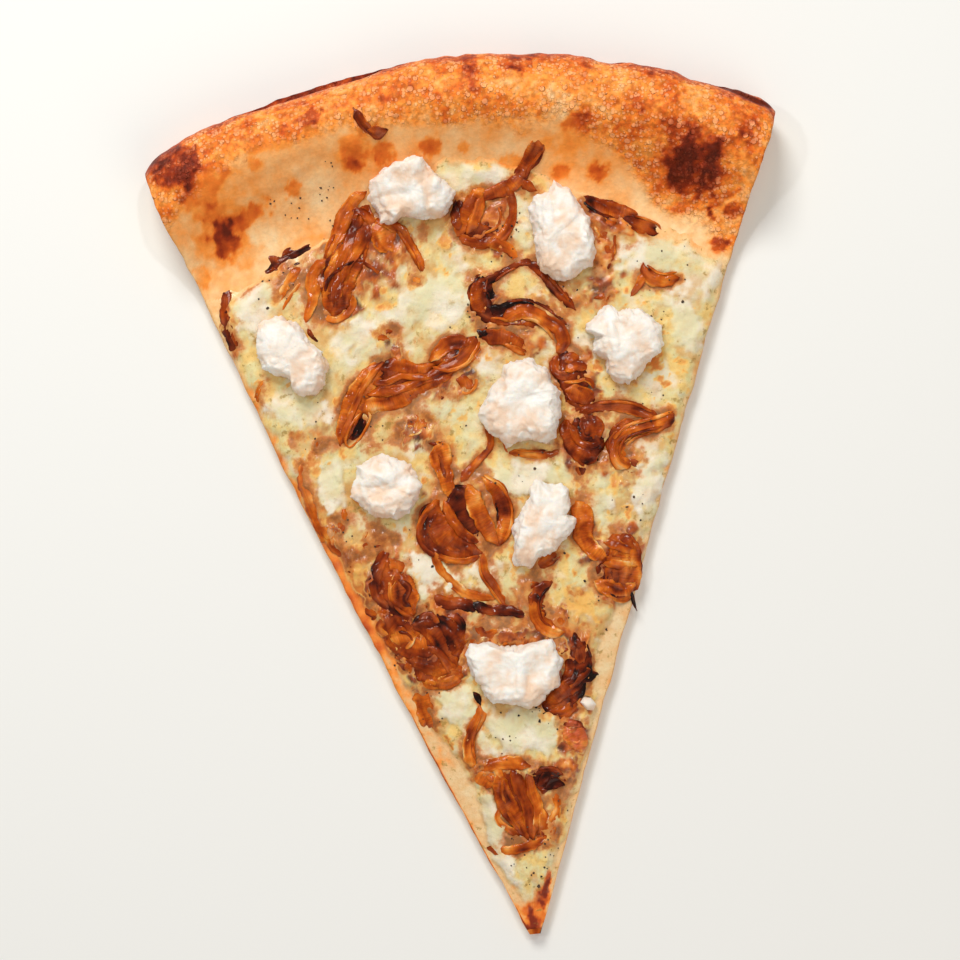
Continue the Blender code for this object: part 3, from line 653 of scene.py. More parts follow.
# ---------------------------------------------------------------- onion strands
# Each strand: width, tone from burnt (0) to pale (1), how deep it is sunk in the cheese, and
# the points that it lies along, where a third number is the strand's own width at that point.
ONION = {
    "onion_1": [
        (9.0, 0.20, 0.5, [(-27.6, 81, 5), (-30, 75.6, 10), (-33.6, 68.6, 10), (-36.4, 61, 9),
            (-37.4, 54, 6)]),
        (6.0, 0.66, 0.6, [(-25, 77, 4), (-23, 73.5, 7), (-22, 70, 6.5), (-20, 67.5, 3)]),
        (8.0, 0.42, 0.3, [(-26.5, 81, 3.5), (-28.5, 77, 7), (-30, 73, 8.5), (-31.5, 69, 8.5),
            (-33.5, 65, 8.5), (-35.5, 61, 8.5), (-36.6, 57, 8), (-36.8, 54, 7), (-37.6, 51.6, 5)]),
        (3.8, 0.66, 0.1, [(-26, 84.5, 1.6), (-29.5, 82.3, 3.4), (-32.3, 79, 4.6), (-34.2, 75, 4.4),
            (-36.4, 71, 3.2), (-38.4, 67.5, 2.6)]),
        (1.1, 0.36, 0.1, [(-35.2, 74.5), (-37.8, 70), (-38.8, 67)]),
        (3.6, 0.68, 0.0, [(-38.4, 67.6, 2), (-41.6, 65, 3.6), (-42.8, 61, 3.8), (-43, 57, 3.2),
            (-44.6, 53.5, 2.2), (-45.6, 50.5, 1.4)]),
        (4.0, 0.34, 0.1, [(-28.5, 79, 3), (-30, 74.5, 3.8), (-32.8, 69, 3.6), (-35.2, 64, 4),
            (-37, 58.5, 4), (-37.4, 54.5, 3)]),
        (2.4, 0.50, -0.1, [(-27.5, 75.5, 3), (-28.5, 71.5, 3.6), (-30.5, 68, 2.8), (-33, 64.8, 2.2),
            (-35, 60, 2.6)]),
        (1.0, 0.14, 0.0, [(-39.8, 58), (-38.3, 62), (-34.5, 64.5), (-31, 66)]),
        (2.0, 0.74, 0.0, [(-40.6, 52.4), (-38, 51), (-35, 51.8), (-32.6, 54), (-32.4, 57)]),
        (2.6, 0.40, 0.0, [(-30.5, 77.5), (-28.7, 79.4), (-26.5, 77.8), (-25.2, 75)]),
        (1.0, 0.58, 0.2, [(-31, 67), (-28, 65), (-25.5, 63), (-24, 61.5)]),
        (3.0, 0.54, 0.0, [(-24, 77, 3), (-20.5, 75.2, 3.2), (-17.5, 72.6, 3), (-15.6, 68.5, 2.8),
            (-13.8, 65, 2.6), (-13, 61, 2)]),
        (0.9, 0.74, -0.1, [(-18.6, 73), (-16.6, 69), (-14.8, 65.5), (-13.8, 62)]),
        (1.2, 0.24, 0.2, [(-45.6, 50.5), (-44.4, 47.5), (-42, 45)]),
    ],
    "onion_2": [
        (2.8, 0.74, 0.4, [(-45, 65.6, 2), (-47.5, 64, 2.8), (-50.5, 61, 2.8), (-53.2, 57, 2.2)]),
        (1.1, 0.66, 0.3, [(-45.3, 62.6), (-48, 59.5), (-50.2, 57), (-52.5, 54)]),
    ],
    "onion_3": [(2.8, 0.60, 0.5, [(-57, 37), (-59.5, 34), (-61, 30.5)])],
    "onion_4": [
        (3.0, 0.26, 0.6, [(-65.5, 63), (-67, 57), (-66.5, 51), (-64.8, 45)]),
        (1.1, 0.46, 0.5, [(-66, 56), (-65.5, 50), (-63.5, 45)]),
    ],
    "onion_5": [
        (2.8, 0.24, 0.9, [(-57, 66), (-52, 67.5), (-47, 69.5), (-41, 71.5)]),
        (1.1, 0.40, 0.8, [(-53, 64.5), (-48, 66.5), (-44, 68)]),
        (0.8, 0.14, 0.5, [(-52, 68.6), (-48.5, 69.8), (-44.5, 70.2)]),
    ],
    "onion_6": [
        (2.0, 0.42, -0.2, [(-27, 105, 1.8), (-25.8, 102.5, 2.4), (-24, 99.8, 2.6), (-22.4, 98.3, 3)]),
        (3.4, 0.38, 0.0, [(-24, 98.6, 3), (-21.5, 98, 4), (-18.4, 99, 3)]),
    ],
    "onion_7": [
        (9.0, 0.24, 0.5, [(-23, 36.5, 5), (-27.5, 33.5, 9), (-32.5, 29, 9.5), (-36, 23.5, 7),
            (-38, 18.6, 3.5)]),
        (7.0, 0.20, 0.5, [(-30, 30, 4), (-24, 31.5, 8), (-18, 33.4, 6.5), (-12, 35, 5), (-6, 38, 6),
            (-1, 42, 4)]),
        (6.0, 0.62, 0.1, [(-24, 37.6, 4), (-28.5, 36, 5.4), (-32, 32.5, 6), (-34.8, 28, 6),
            (-37, 23.5, 5.2), (-39, 19.5, 3.8), (-39.6, 17.2, 2.6)]),
        (4.6, 0.52, 0.3, [(-33, 26, 3), (-29.5, 27.4, 4.4), (-26, 27.6, 4.6), (-22, 28.8, 5),
            (-18, 30.6, 4), (-13, 32, 3.2), (-7, 34.2, 2.6)]),
        (5.4, 0.50, 0.2, [(-28, 36.4, 4), (-24, 36.4, 5.6), (-20, 36.2, 5.2), (-16.5, 35.4, 3.4),
            (-12, 36.4, 2.4)]),
        (2.6, 0.46, 0.0, [(-31, 30.5, 2), (-27, 30.6, 2.6), (-22, 31, 2.6), (-17, 32.4, 2.4),
            (-12, 34.2, 3.2), (-7, 36, 4.6), (-3, 38.8, 4.8), (0, 42.6, 4)]),
        (2.0, 0.68, -0.2, [(-26, 38.2), (-30, 34.6), (-33.6, 29.4), (-36.6, 23.4), (-38.8, 18.6)]),
        (1.8, 0.62, -0.1, [(-29, 33.4), (-25, 33.2), (-21.5, 34.4), (-17.4, 33.6), (-13.4, 33)]),
        (2.6, 0.10, 0.5, [(-36.8, 18.4, 1.8), (-34.6, 21, 3), (-32.2, 24, 2.4)]),
        (0.8, 0.82, -0.1, [(-33.2, 25.6), (-36, 22.6), (-38, 18.6), (-37.2, 16.8), (-35, 18),
            (-32.6, 20.8), (-30.8, 24), (-31.2, 25.8)]),
        (4.0, 0.46, 0.1, [(-13.6, 37.6, 2), (-11, 39.6, 3.4), (-8.4, 41.6, 4.4), (-5, 41.8, 4),
            (-2, 41, 3.2)]),
        (1.0, 0.72, -0.1, [(-13, 36), (-8.6, 34.6), (-4, 36), (-1, 39.4), (0.4, 42)]),
        (3.4, 0.46, 0.1, [(0.6, 43, 4), (5, 42.4, 4.4), (9, 41, 4), (12.6, 38, 2.6)]),
        (1.8, 0.74, 0.0, [(6.6, 40), (9.6, 38.6), (12.2, 36.8)]),
        (1.5, 0.04, 0.2, [(-0.8, 44.6, 1), (1.0, 43.8, 1.8), (3.6, 42.8, 1.4)]),
        (1.3, 0.02, 0.0, [(0.4, 42.6), (1.8, 44), (2.6, 45.4)]),
        (4.4, 0.28, 0.2, [(-7.4, 32.4, 3), (-5, 31, 5), (-2.4, 31.6, 3)]),
        (1.0, 0.70, 0.1, [(-7, 29.6), (-4.6, 28), (-2.2, 29.6), (-1.4, 32.6)]),
    ],
    "onion_8": [
        (7.0, 0.12, 0.5, [(2.4, 59, 4), (1.6, 54.5, 7.5), (2.6, 49.5, 6), (7, 47.5, 5),
            (12, 47.5, 5.5), (18, 44.6, 5)]),
        (2.6, 0.20, 0.2, [(16.8, 61.4, 2.2), (13, 61.4, 2), (9.5, 60.2, 1.8), (6, 58.2, 2.2),
            (3, 57, 3)]),
        (0.7, 0.40, 0.0, [(12, 60.4), (8.6, 59), (5.6, 57)]),
        (4.4, 0.44, 0.2, [(3, 58.4, 3.4), (1.4, 55.4, 4.6), (1.6, 52, 5), (2.8, 48.8, 3.6)]),
        (2.4, 0.34, 0.0, [(4.6, 56.6), (2.6, 53.4), (4.4, 50)]),
        (3.0, 0.08, 0.1, [(3.4, 50.6, 3), (6.2, 49.4, 3.4), (9, 50.6, 2), (12.4, 51, 1.4),
            (16.4, 49.6, 1.2)]),
        (0.9, 0.38, 0.2, [(8, 51.4), (13, 51.6), (17.4, 49.8), (21.6, 46.4), (24.4, 43)]),
        (3.8, 0.52, 0.0, [(7, 46.6, 2.4), (9.6, 48, 4), (13, 48.6, 4.2), (16.4, 47, 4.2), (19, 45, 4),
            (21.6, 43, 4), (22.6, 39.6, 3.6), (21, 36.2, 2.8)]),
        (0.9, 0.76, -0.1, [(12, 46.6), (15.6, 45.6), (18.4, 43), (20, 40)]),
        (0.8, 0.62, 0.1, [(3, 47.4), (6, 47.2), (9, 46)]),
        (3.0, 0.24, 0.1, [(15.6, 61.6, 2.4), (19, 57.8, 3.2), (22.4, 53, 3.2), (24.8, 49.6, 3),
            (26.6, 47.4, 2.4)]),
        (0.9, 0.46, -0.1, [(20, 57.4), (22.8, 53.6), (25.2, 49.6)]),
    ],
    "onion_9": [
        (7.0, 0.16, 0.6, [(-1, 80, 4), (-0.4, 74, 6.5), (2, 70.5, 6), (7, 69.4, 5), (10.8, 71.6, 3.6)]),
        (4.6, 0.36, 0.2, [(20.6, 93.4, 4.6), (20, 90.6, 4.8), (17.2, 87.4, 4), (14.8, 84.2, 4.4),
            (11.2, 81.6, 4), (7, 80.6, 3.4), (3.6, 80, 3)]),
        (1.1, 0.52, 0.1, [(22.4, 92.4), (20.8, 89.4), (18, 86.4), (15.8, 83)]),
        (3.0, 0.50, 0.2, [(15.4, 84), (17, 81.6), (19.6, 80)]),
        (3.8, 0.56, 0.1, [(4.4, 82.4, 3), (2.2, 79.6, 4), (0.4, 76, 4.2), (-1.4, 72.4, 4),
            (-2.6, 70, 2.6)]),
        (3.2, 0.50, 0.1, [(-2.6, 70, 2.4), (0.4, 68.2, 3), (4, 67.6, 3.2), (7.8, 68.4, 3.2),
            (10.8, 71, 2.8), (12.4, 74.8, 2.4), (12.4, 78.8, 2.2), (11.4, 82.4, 2.0)]),
        (3.2, 0.62, 0.0, [(4.6, 80.6, 2.6), (3.2, 76.6, 3.4), (1.6, 73, 3), (0, 70.4, 2)]),
        (2.6, 0.10, 1.2, [(5.6, 77, 1.6), (5, 73.6, 3.0), (3.4, 71, 2.0)]),
        (0.8, 0.70, -0.1, [(8.6, 77.6), (9, 74), (7.4, 71.4), (4, 70)]),
        (3.2, 0.28, 0.3, [(-3, 78.6), (-2.6, 74.6), (-1.4, 71)]),
        (0.9, 0.60, 0.2, [(-4, 76.4), (-2.8, 73)]),
        (3.2, 0.46, 0.1, [(4.6, 68, 2.6), (8, 66.8, 3.4), (10.8, 65, 3), (12, 62, 1.8)]),
    ],
    "onion_10": [
        (5.0, 0.44, 0.5, [(30.6, 77.4, 3), (34, 75, 5), (38, 73.4, 5), (42, 72.4, 4.4), (46, 70.6, 3)]),
        (4.6, 0.58, 1.2, [(34.4, 72, 4), (36.6, 68, 5), (36.4, 63, 5), (34.8, 58, 4.4),
            (34, 54.4, 2.6)]),
        (0.8, 0.60, 0.4, [(39, 70), (38.8, 65), (37.6, 60), (35, 56)]),
        (4.0, 0.24, 0.2, [(41.6, 70.6, 2.6), (45, 69, 4), (48.4, 67.4, 4.4), (51.6, 66.8, 3)]),
        (0.8, 0.52, 0.0, [(42.4, 71.8), (46.6, 70.6), (50.6, 68.6), (51.8, 66.6)]),
        (1.1, 0.16, 0.2, [(31, 76.6), (35, 72.8), (39.6, 71)]),
    ],
    "onion_11": [
        (4.0, 0.56, -0.2, [(55, 53.2, 3.8), (51, 53.2, 3.8), (47.4, 54.4, 4.4), (45.8, 56.8, 2.8),
            (45.8, 58.4, 1)]),
        (2.4, 0.48, -0.2, [(46, 55, 3), (43.8, 52.2, 2), (41.5, 49.6, 0.9)]),
        (0.7, 0.74, -0.3, [(54.6, 55), (50, 55), (46.8, 57.6)]),
    ],
    "onion_12": [
        (8.0, 0.16, 0.5, [(21, 36, 4), (23.4, 32, 8.5), (24.6, 28, 8), (25.4, 23.5, 7.5)]),
        (2.8, 0.48, 0.1, [(21, 36.4, 2.4), (19.4, 33, 2.6), (20.6, 30.6, 2.6), (23.6, 30.4, 2.6)]),
        (3.2, 0.48, 0.0, [(21.6, 33.4, 2.6), (24.4, 35, 3.2), (27, 34.8, 2.4)]),
        (2.8, 0.60, -0.1, [(22, 31.6, 2.4), (25.4, 32.6, 3), (28.8, 31.6, 2.2)]),
        (4.8, 0.38, 0.1, [(21, 26.6, 3), (24, 25.4, 5), (27, 24, 5), (28.8, 22.4, 3)]),
        (1.0, 0.64, 0.0, [(21, 28.6), (24.6, 28.4), (27.6, 28.6), (30, 26)]),
        (1.1, 0.18, 0.2, [(26, 29.6), (29, 28), (29.6, 25)]),
        (1.0, 0.68, 0.1, [(22, 23.6), (25.6, 21.4), (28.6, 21)]),
    ],
    "onion_13": [
        (10.0, 0.10, 0.5, [(24, 19.6, 6), (25.6, 14.6, 11), (27.4, 9.6, 9), (29, 7, 5)]),
        (6.0, 0.40, 0.6, [(40, 16.8, 3), (35.6, 13.5, 6), (34, 9.4, 5.5), (35.6, 5, 4)]),
        (6.0, 0.50, 0.2, [(28, 20, 5), (28, 16, 6.6), (28, 12, 6)]),
        (5.0, 0.26, 0.2, [(21.4, 18.6, 3.6), (21.8, 14.6, 5), (23.4, 11, 6), (26.4, 8.4, 5.6),
            (30, 9.6, 3.4)]),
        (2.2, 0.36, 0.0, [(22.4, 17), (24, 12.6), (27.6, 10.6), (30.4, 12)]),
        (1.8, 0.14, -0.1, [(24.6, 16.6), (25.4, 13.4), (28, 13)]),
        (3.2, 0.54, 0.0, [(25, 20.4, 2.2), (30, 21.2, 3), (35, 20.9, 3.4), (40, 19.6, 3.6),
            (44, 17.4, 3), (45.6, 15.6, 1.8)]),
        (0.8, 0.72, -0.1, [(29.6, 22), (35, 22), (40.6, 20.6), (44.4, 18.4)]),
        (3.8, 0.56, -0.1, [(50.2, 16.4, 3.4), (46.4, 15.2, 4), (42, 14.6, 3.6), (37.6, 13.9, 3.8),
            (34.4, 11.6, 4), (33.2, 8.8, 3.6), (34.4, 6, 4), (37, 4.2, 3)]),
        (1.0, 0.76, -0.2, [(50, 18), (45, 16.8), (39.6, 16), (35.6, 14.4), (33, 11.6)]),
        (0.8, 0.34, -0.1, [(47, 14.4), (41, 13.4), (36.6, 12), (34.6, 8.4), (36, 5.4)]),
        (0.8, 0.70, 0.2, [(44, 12.8), (39, 11.8), (36.2, 9.6)]),
    ],
    "onion_14": [
        (0.8, 0.80, 0.2, [(-2, 22.5), (0.5, 20.9), (3.4, 20.4), (4.1, 16), (4.4, 12.2), (5.6, 10.6)]),
        (2.2, 0.64, 0.1, [(4.6, 11, 1.4), (8, 10.8, 2.4), (12, 10.2, 2.4), (15.6, 9.6, 2),
            (19, 10.8, 1.2)]),
        (0.7, 0.42, 0.0, [(7, 11.6), (12, 11), (15.6, 11)]),
    ],
    "onion_15": [
        (13.0, 0.04, 0.6, [(-11.6, 3.4, 6), (-9.6, -2, 13), (-8.4, -7.6, 14), (-6, -12.8, 8)]),
        (6.0, 0.66, 0.2, [(-14, 16, 3.4), (-13.2, 12.8, 6.2), (-12.6, 9, 5), (-12, 5, 4),
            (-11.4, 1, 3)]),
        (1.0, 0.24, 0.1, [(-16.6, 16), (-14, 15.4), (-12, 16)]),
        (1.1, 0.40, 0.1, [(-13.6, 13.6), (-12.8, 9), (-12.2, 5)]),
        (10.0, 0.34, 0.1, [(-14.6, 0.4, 3), (-16.6, -3.6, 8), (-15.6, -8.6, 11), (-12, -12.6, 9),
            (-7.6, -14.2, 5), (-4.6, -15, 3)]),
        (1.8, 0.60, -0.1, [(-15, 0.4), (-19, -3.4), (-20.8, -8), (-19, -12.6), (-14.4, -15.4),
            (-9, -16.4), (-5, -15.6)]),
        (1.1, 0.44, -0.1, [(-14.4, -1.6), (-17, -5), (-17.4, -9), (-14.4, -12.2), (-9.6, -13.6)]),
        (2.4, 0.05, 1.2, [(-10.8, 0.4, 1.6), (-9, -4, 2.6), (-7.8, -7.6, 1.8)]),
        (2.6, 0.52, -0.2, [(-13.4, 0.6, 2.4), (-12, -4, 2.8), (-9, -9, 2.6), (-5.4, -12, 2.2)]),
        (4.8, 0.62, -0.2, [(-6, 3.8, 4.4), (-5.2, -1, 4.8), (-4, -5, 4.8), (-1.6, -10, 4.2),
            (0.2, -13.4, 2.8)]),
        (4.6, 0.48, 0.0, [(-2.6, 5.6, 2.6), (1, 1.6, 4.4), (2.6, -3.5, 4.6), (2.3, -8, 4.4),
            (0.4, -13, 2.6)]),
        (0.8, 0.10, 0.7, [(-0.4, 0.4), (0.6, -4), (0.3, -8.4)]),
        (0.9, 0.74, -0.1, [(-2, 6), (2.2, 2.4), (4.4, -3), (3.8, -8.6), (1.4, -12.6)]),
        (2.2, 0.58, 0.0, [(-0.4, 19, 1.6), (0.7, 16.4, 2), (0, 13, 2.2), (-3.6, 9.6, 2.2),
            (-6.4, 7, 2.6), (-8.4, 4.4, 2.4)]),
        (2.6, 0.70, 0.2, [(-17.6, -13, 2), (-16, -18, 2.4), (-13, -22.4, 2.8), (-10, -25, 2.8),
            (-6.4, -26.4, 2.6), (-2, -27.2, 1.6)]),
        (2.4, 0.50, 0.0, [(-4.4, -14.6, 2), (-4.4, -20, 2.6), (-2.2, -24.4, 2.6), (0.4, -29.2, 2)]),
        (0.7, 0.76, -0.1, [(-5.4, -16), (-5.4, -20.4), (-3.2, -24.8), (-0.6, -29)]),
    ],
    "onion_16": [
        (3.2, 0.66, 0.7, [(-50, 14, 3), (-50.4, 8, 3), (-49.2, 3, 3), (-48, -1, 3.4), (-46, -5, 4.4),
            (-44.4, -8.6, 4.6)]),
        (2.4, 0.62, 0.6, [(-45.6, -3, 2.4), (-42.4, -4.8, 2.8), (-40.4, -2, 2.6), (-39.8, 1, 1.8)]),
        (1.8, 0.42, 0.5, [(-46.4, -5), (-44.4, -9.4), (-41.4, -12.6)]),
    ],
    "onion_17": [
        (2.6, 0.62, 0.7, [(-33, -5), (-34.5, -8.5), (-38, -10.8)]),
        (1.1, 0.48, 0.6, [(-32, -4), (-31.5, -7.5), (-33, -10)]),
    ],
    "onion_18": [
        (8.0, 0.32, 0.6, [(-29.6, -13, 4), (-30.4, -18.6, 8), (-29.4, -24, 8.5), (-26, -29.6, 6)]),
        (2.8, 0.58, 0.4, [(-30.4, -14.6, 2.4), (-27.4, -16, 3.6), (-24.6, -17.6, 2.4)]),
        (3.2, 0.36, 0.3, [(-29.6, -10.9, 2), (-32, -15, 3.2), (-33.7, -19.2, 3.6), (-33.4, -23.8, 3),
            (-30.6, -27.6, 2.4)]),
        (6.5, 0.56, 0.2, [(-27, -18.6, 4), (-26.6, -22, 7), (-25.6, -26, 7), (-24, -29.6, 4)]),
        (1.1, 0.74, 0.1, [(-29.6, -20), (-30, -24.6), (-27.6, -28.4), (-24, -30.4)]),
        (1.8, 0.30, -0.1, [(-27.4, -19.6), (-25, -22.4), (-26.4, -25.4), (-24.4, -28)]),
    ],
    "onion_19": [
        (9.0, 0.34, 0.6, [(-32.5, -29, 5), (-29, -34, 9), (-24.5, -37.5, 9), (-19, -38, 8)]),
        (9.0, 0.14, 0.5, [(-25, -33, 5), (-20, -33.6, 9), (-15.6, -37, 10), (-13.4, -43, 7)]),
        (8.0, 0.44, 0.7, [(-27.5, -42, 5), (-22, -44, 8), (-16.6, -46.6, 7.5), (-12.8, -44, 4)]),
        (3.2, 0.30, 0.2, [(-19, -25, 2.4), (-15.6, -27, 3.4), (-11.6, -27.8, 3.2), (-7, -29, 3)]),
        (2.6, 0.10, -0.1, [(-8.6, -28.6, 2.4), (-3, -30.4, 3), (2, -31, 2.8), (6, -32.8, 1.8)]),
        (6.0, 0.62, 0.1, [(-31, -35.6, 3.4), (-27.6, -35.2, 6.4), (-24.4, -34.4, 4)]),
        (1.1, 0.30, 0.0, [(-29.6, -33.4), (-26.6, -34.4), (-25, -36.6)]),
        (4.4, 0.38, 0.4, [(-22, -33, 3), (-19, -35.6, 4.6), (-17, -39.6, 4.6), (-14.6, -44.6, 3)]),
        (3.2, 0.56, 0.4, [(-26, -42, 2.6), (-21.6, -44.4, 3.6), (-16, -44.4, 3), (-13, -46, 2)]),
        (2.4, 0.50, 0.2, [(-22, -38), (-18, -41), (-15, -47)]),
        (2.6, 0.24, 0.1, [(-15, -30), (-12, -33), (-13, -37)]),
        (2.4, 0.46, 0.2, [(-8, -33), (-6, -36.5), (-2, -36)]),
        (2.2, 0.42, 0.2, [(-24, -31), (-20, -30), (-18, -33)]),
        (2.4, 0.60, 0.3, [(-31, -29), (-34, -32), (-31.5, -35)]),
        (3.4, 0.70, 0.5, [(-24, -47.6, 2.4), (-19, -48.4, 3.4), (-14, -46.6, 2.6)]),
    ],
    "onion_20": [
        (3.8, 0.64, 0.0, [(13.4, -24, 2.6), (9.8, -26.8, 3.6), (8, -31, 4), (9.4, -35, 4.2),
            (13, -37.8, 3.4), (15.6, -38, 2)]),
        (0.8, 0.44, -0.1, [(12.4, -25.4), (9.4, -29), (9.6, -33.6), (12.6, -36.8)]),
    ],
    "onion_21": [
        (3.2, 0.52, 0.2, [(9.6, -20.2, 2.6), (13, -18.2, 3.6), (16, -16.4, 2.4)]),
        (2.2, 0.18, 1.0, [(4.6, -23, 1.6), (7.4, -23.6, 2.4), (10.6, -22.4, 1.2)]),
    ],
    "onion_22": [
        (11.0, 0.22, 0.5, [(29.6, -15, 6), (31.6, -20, 12), (31.4, -25.6, 11.5), (30.6, -30, 7)]),
        (9.0, 0.48, 0.2, [(30, -13.6, 5), (33, -17, 9), (33.2, -21, 9.6), (32.4, -25, 9.6),
            (31.4, -29, 8.4), (32, -31.6, 4)]),
        (5.6, 0.68, -0.1, [(23.4, -3.6, 5.4), (23.2, -9, 5.6), (23, -13, 5.2), (25, -17, 4.6),
            (28, -19.4, 3.6)]),
        (2.8, 0.46, -0.1, [(28, -15, 2.6), (32, -16.4, 3), (36.6, -18.4, 2.4)]),
        (2.6, 0.58, -0.1, [(27.6, -20.4), (31.4, -21.4), (36.4, -22.4)]),
        (0.7, 0.14, 0.6, [(28, -22.6), (32, -24.2), (36, -24)]),
        (5.6, 0.76, 0.0, [(25.4, -24.8, 3.4), (29, -27.6, 5.6), (32.6, -28.8, 6), (35.6, -27, 4.4)]),
        (1.1, 0.34, 0.0, [(29.6, -18.6), (33.4, -19.4), (37, -20.4)]),
        (0.8, 0.24, 0.0, [(27.4, -28.4), (31, -30), (34.4, -28.8)]),
    ],
    "onion_23": [
        (7.0, 0.16, 0.6, [(17.4, -39.6, 4), (18.6, -45, 7), (16.8, -51.6, 7.5), (11.6, -57, 7),
            (8, -59.4, 4)]),
        (3.4, 0.42, 0.3, [(16.8, -38.6, 2.6), (18.8, -42.6, 3.6), (19.4, -47, 3)]),
        (4.2, 0.28, 0.1, [(23.4, -50, 2), (19.6, -50, 4), (16, -52, 4.2), (12.2, -54.6, 4.4),
            (9, -56.8, 3)]),
        (1.8, 0.48, -0.1, [(21, -48.8), (18, -50.6), (15, -53.4)]),
        (3.0, 0.40, 0.3, [(17, -57.4, 2.4), (12.6, -59, 3.8), (8.6, -58.4, 2.6)]),
        (1.8, 0.20, 0.0, [(18, -46.6), (16.6, -50.6), (14, -52)]),
    ],
    "onion_24": [
        (4.8, 0.62, 0.9, [(-25, -49.5), (-23.8, -55), (-22.5, -60.5)]),
    ],
    "onion_25": [
        (1.6, 0.02, -0.1, [(-10.8, -51.2, 1.0), (-9.6, -52.8, 1.8), (-8.8, -55.4, 1.6)]),
        (3.4, 0.84, 0.0, [(-8.8, -55.4, 2.6), (-9.4, -58.6, 3.6), (-12, -62.4, 3.2),
            (-13.2, -67, 3.4), (-12.6, -71.6, 3.6)]),
        (0.8, 0.80, -0.2, [(-8.2, -57), (-10.6, -61), (-12, -65.6), (-11.6, -70)]),
    ],
    "onion_26": [
        (6.0, 0.60, 0.2, [(13, -63.2, 4), (15.4, -66, 6.6), (15.4, -69.8, 4.4)]),
        (1.8, 0.34, 0.0, [(12.6, -62.2), (16.4, -62.6), (18.6, -64.4)]),
        (1.0, 0.78, 0.1, [(13.6, -66.4), (16, -67.6), (17.6, -66)]),
    ],
    "onion_27": [
        (8.0, 0.30, 0.5, [(-4.6, -73, 6), (-3, -79, 9), (-0.6, -86, 8), (1, -91.6, 5)]),
        (5.0, 0.68, 0.5, [(-12, -73.4, 3.6), (-8.6, -75, 5.4), (-6, -78.4, 4)]),
        (3.6, 0.58, 0.2, [(-10, -72, 3), (-6, -71.4, 3.8), (-1, -71.6, 3.8), (3.6, -73, 2.6)]),
        (4.4, 0.52, -0.1, [(-5.2, -73.2, 3.4), (-5.4, -78, 4.6), (-3.8, -83, 5), (-1.2, -88, 4.4),
            (0.4, -92.6, 3)]),
        (3.6, 0.38, -0.2, [(-1.4, -73.4, 3), (-0.4, -78, 3.8), (1.2, -83, 4), (1.6, -88, 3.6),
            (1.2, -92, 2.4)]),
        (2.6, 0.54, -0.1, [(2.2, -74.6, 2), (2.8, -79.6, 2.8), (3.8, -84.6, 2.8), (2.8, -90, 2)]),
        (1.0, 0.70, 0.0, [(-4.8, -74.6), (-5.2, -79), (-4.2, -84), (-1.4, -89.6)]),
        (1.9, 0.72, 0.0, [(-6.6, -83), (-7, -86.2), (-4, -89.2), (-2, -91)]),
        (4.6, 0.12, 0.1, [(3.2, -76.2, 3), (6.6, -77.2, 4.8), (10.6, -77.8, 3.6)]),
        (3.0, 0.18, -0.1, [(3.2, -75, 2.4), (6.8, -74.6, 3.4), (10.6, -75.8, 2.8)]),
        (2.8, 0.08, -0.2, [(4.8, -78.8, 2.2), (6.4, -76.4, 3.2), (7.2, -73.4, 2.2)]),
        (2.6, 0.14, -0.3, [(6.6, -79.4, 2.2), (9, -77.8, 3), (11.6, -78.4, 2.2)]),
        (1.6, 0.36, -0.2, [(4.6, -73.8), (8.4, -74), (11.4, -75.8)]),
        (2.8, 0.56, 0.3, [(4.6, -83.6, 2.4), (5.2, -87, 3), (4, -91, 3)]),
        (2.8, 0.66, 0.2, [(-10.8, -94, 2), (-6, -94.6, 2.8), (0, -94, 3), (5.4, -92, 2.4)]),
        (2.4, 0.60, 0.4, [(9, -80), (8.8, -85), (6.6, -89)]),
    ],
}

# Matted onion: node, centre, half axes, number of short strands, mean tone.
MATS = [
    ("onion_19", (-21, -37), (11, 9), 32, 0.42),
    ("onion_19", (-15, -29), (7, 3), 8, 0.30),
    ("onion_19", (-33, -33), (4, 5), 6, 0.52),
    ("onion_18", (-28, -23), (6, 7), 9, 0.46),
    ("onion_16", (-45, -7), (3.4, 5), 4, 0.56),
    ("onion_22", (32, -22), (5, 7), 6, 0.54),
    ("onion_27", (0, -83), (6, 9), 8, 0.48),
    ("onion_27", (7, -76), (5, 3), 6, 0.18),
    ("onion_26", (15, -67), (2.6, 3.4), 4, 0.60),
    ("onion_23", (17, -47), (3.6, 8), 12, 0.40),
    ("onion_23", (12, -57), (5, 3), 5, 0.38),
    ("onion_13", (26, 13), (5, 6), 7, 0.30),
    ("onion_8", (2, 53), (3, 4.6), 8, 0.36),
    ("onion_8", (15, 45), (7, 4), 4, 0.54),
    ("onion_9", (4, 74), (6.5, 6.5), 6, 0.42),
    ("onion_12", (25, 28), (4, 6), 6, 0.46),
    ("onion_1", (-33, 66), (4, 12), 7, 0.36),
    ("onion_10", (40, 71), (8, 2.6), 5, 0.34),
    ("onion_5", (-49, 68), (7, 1.8), 5, 0.26),
    ("onion_7", (-5, 31), (3, 2.4), 3, 0.36),
]
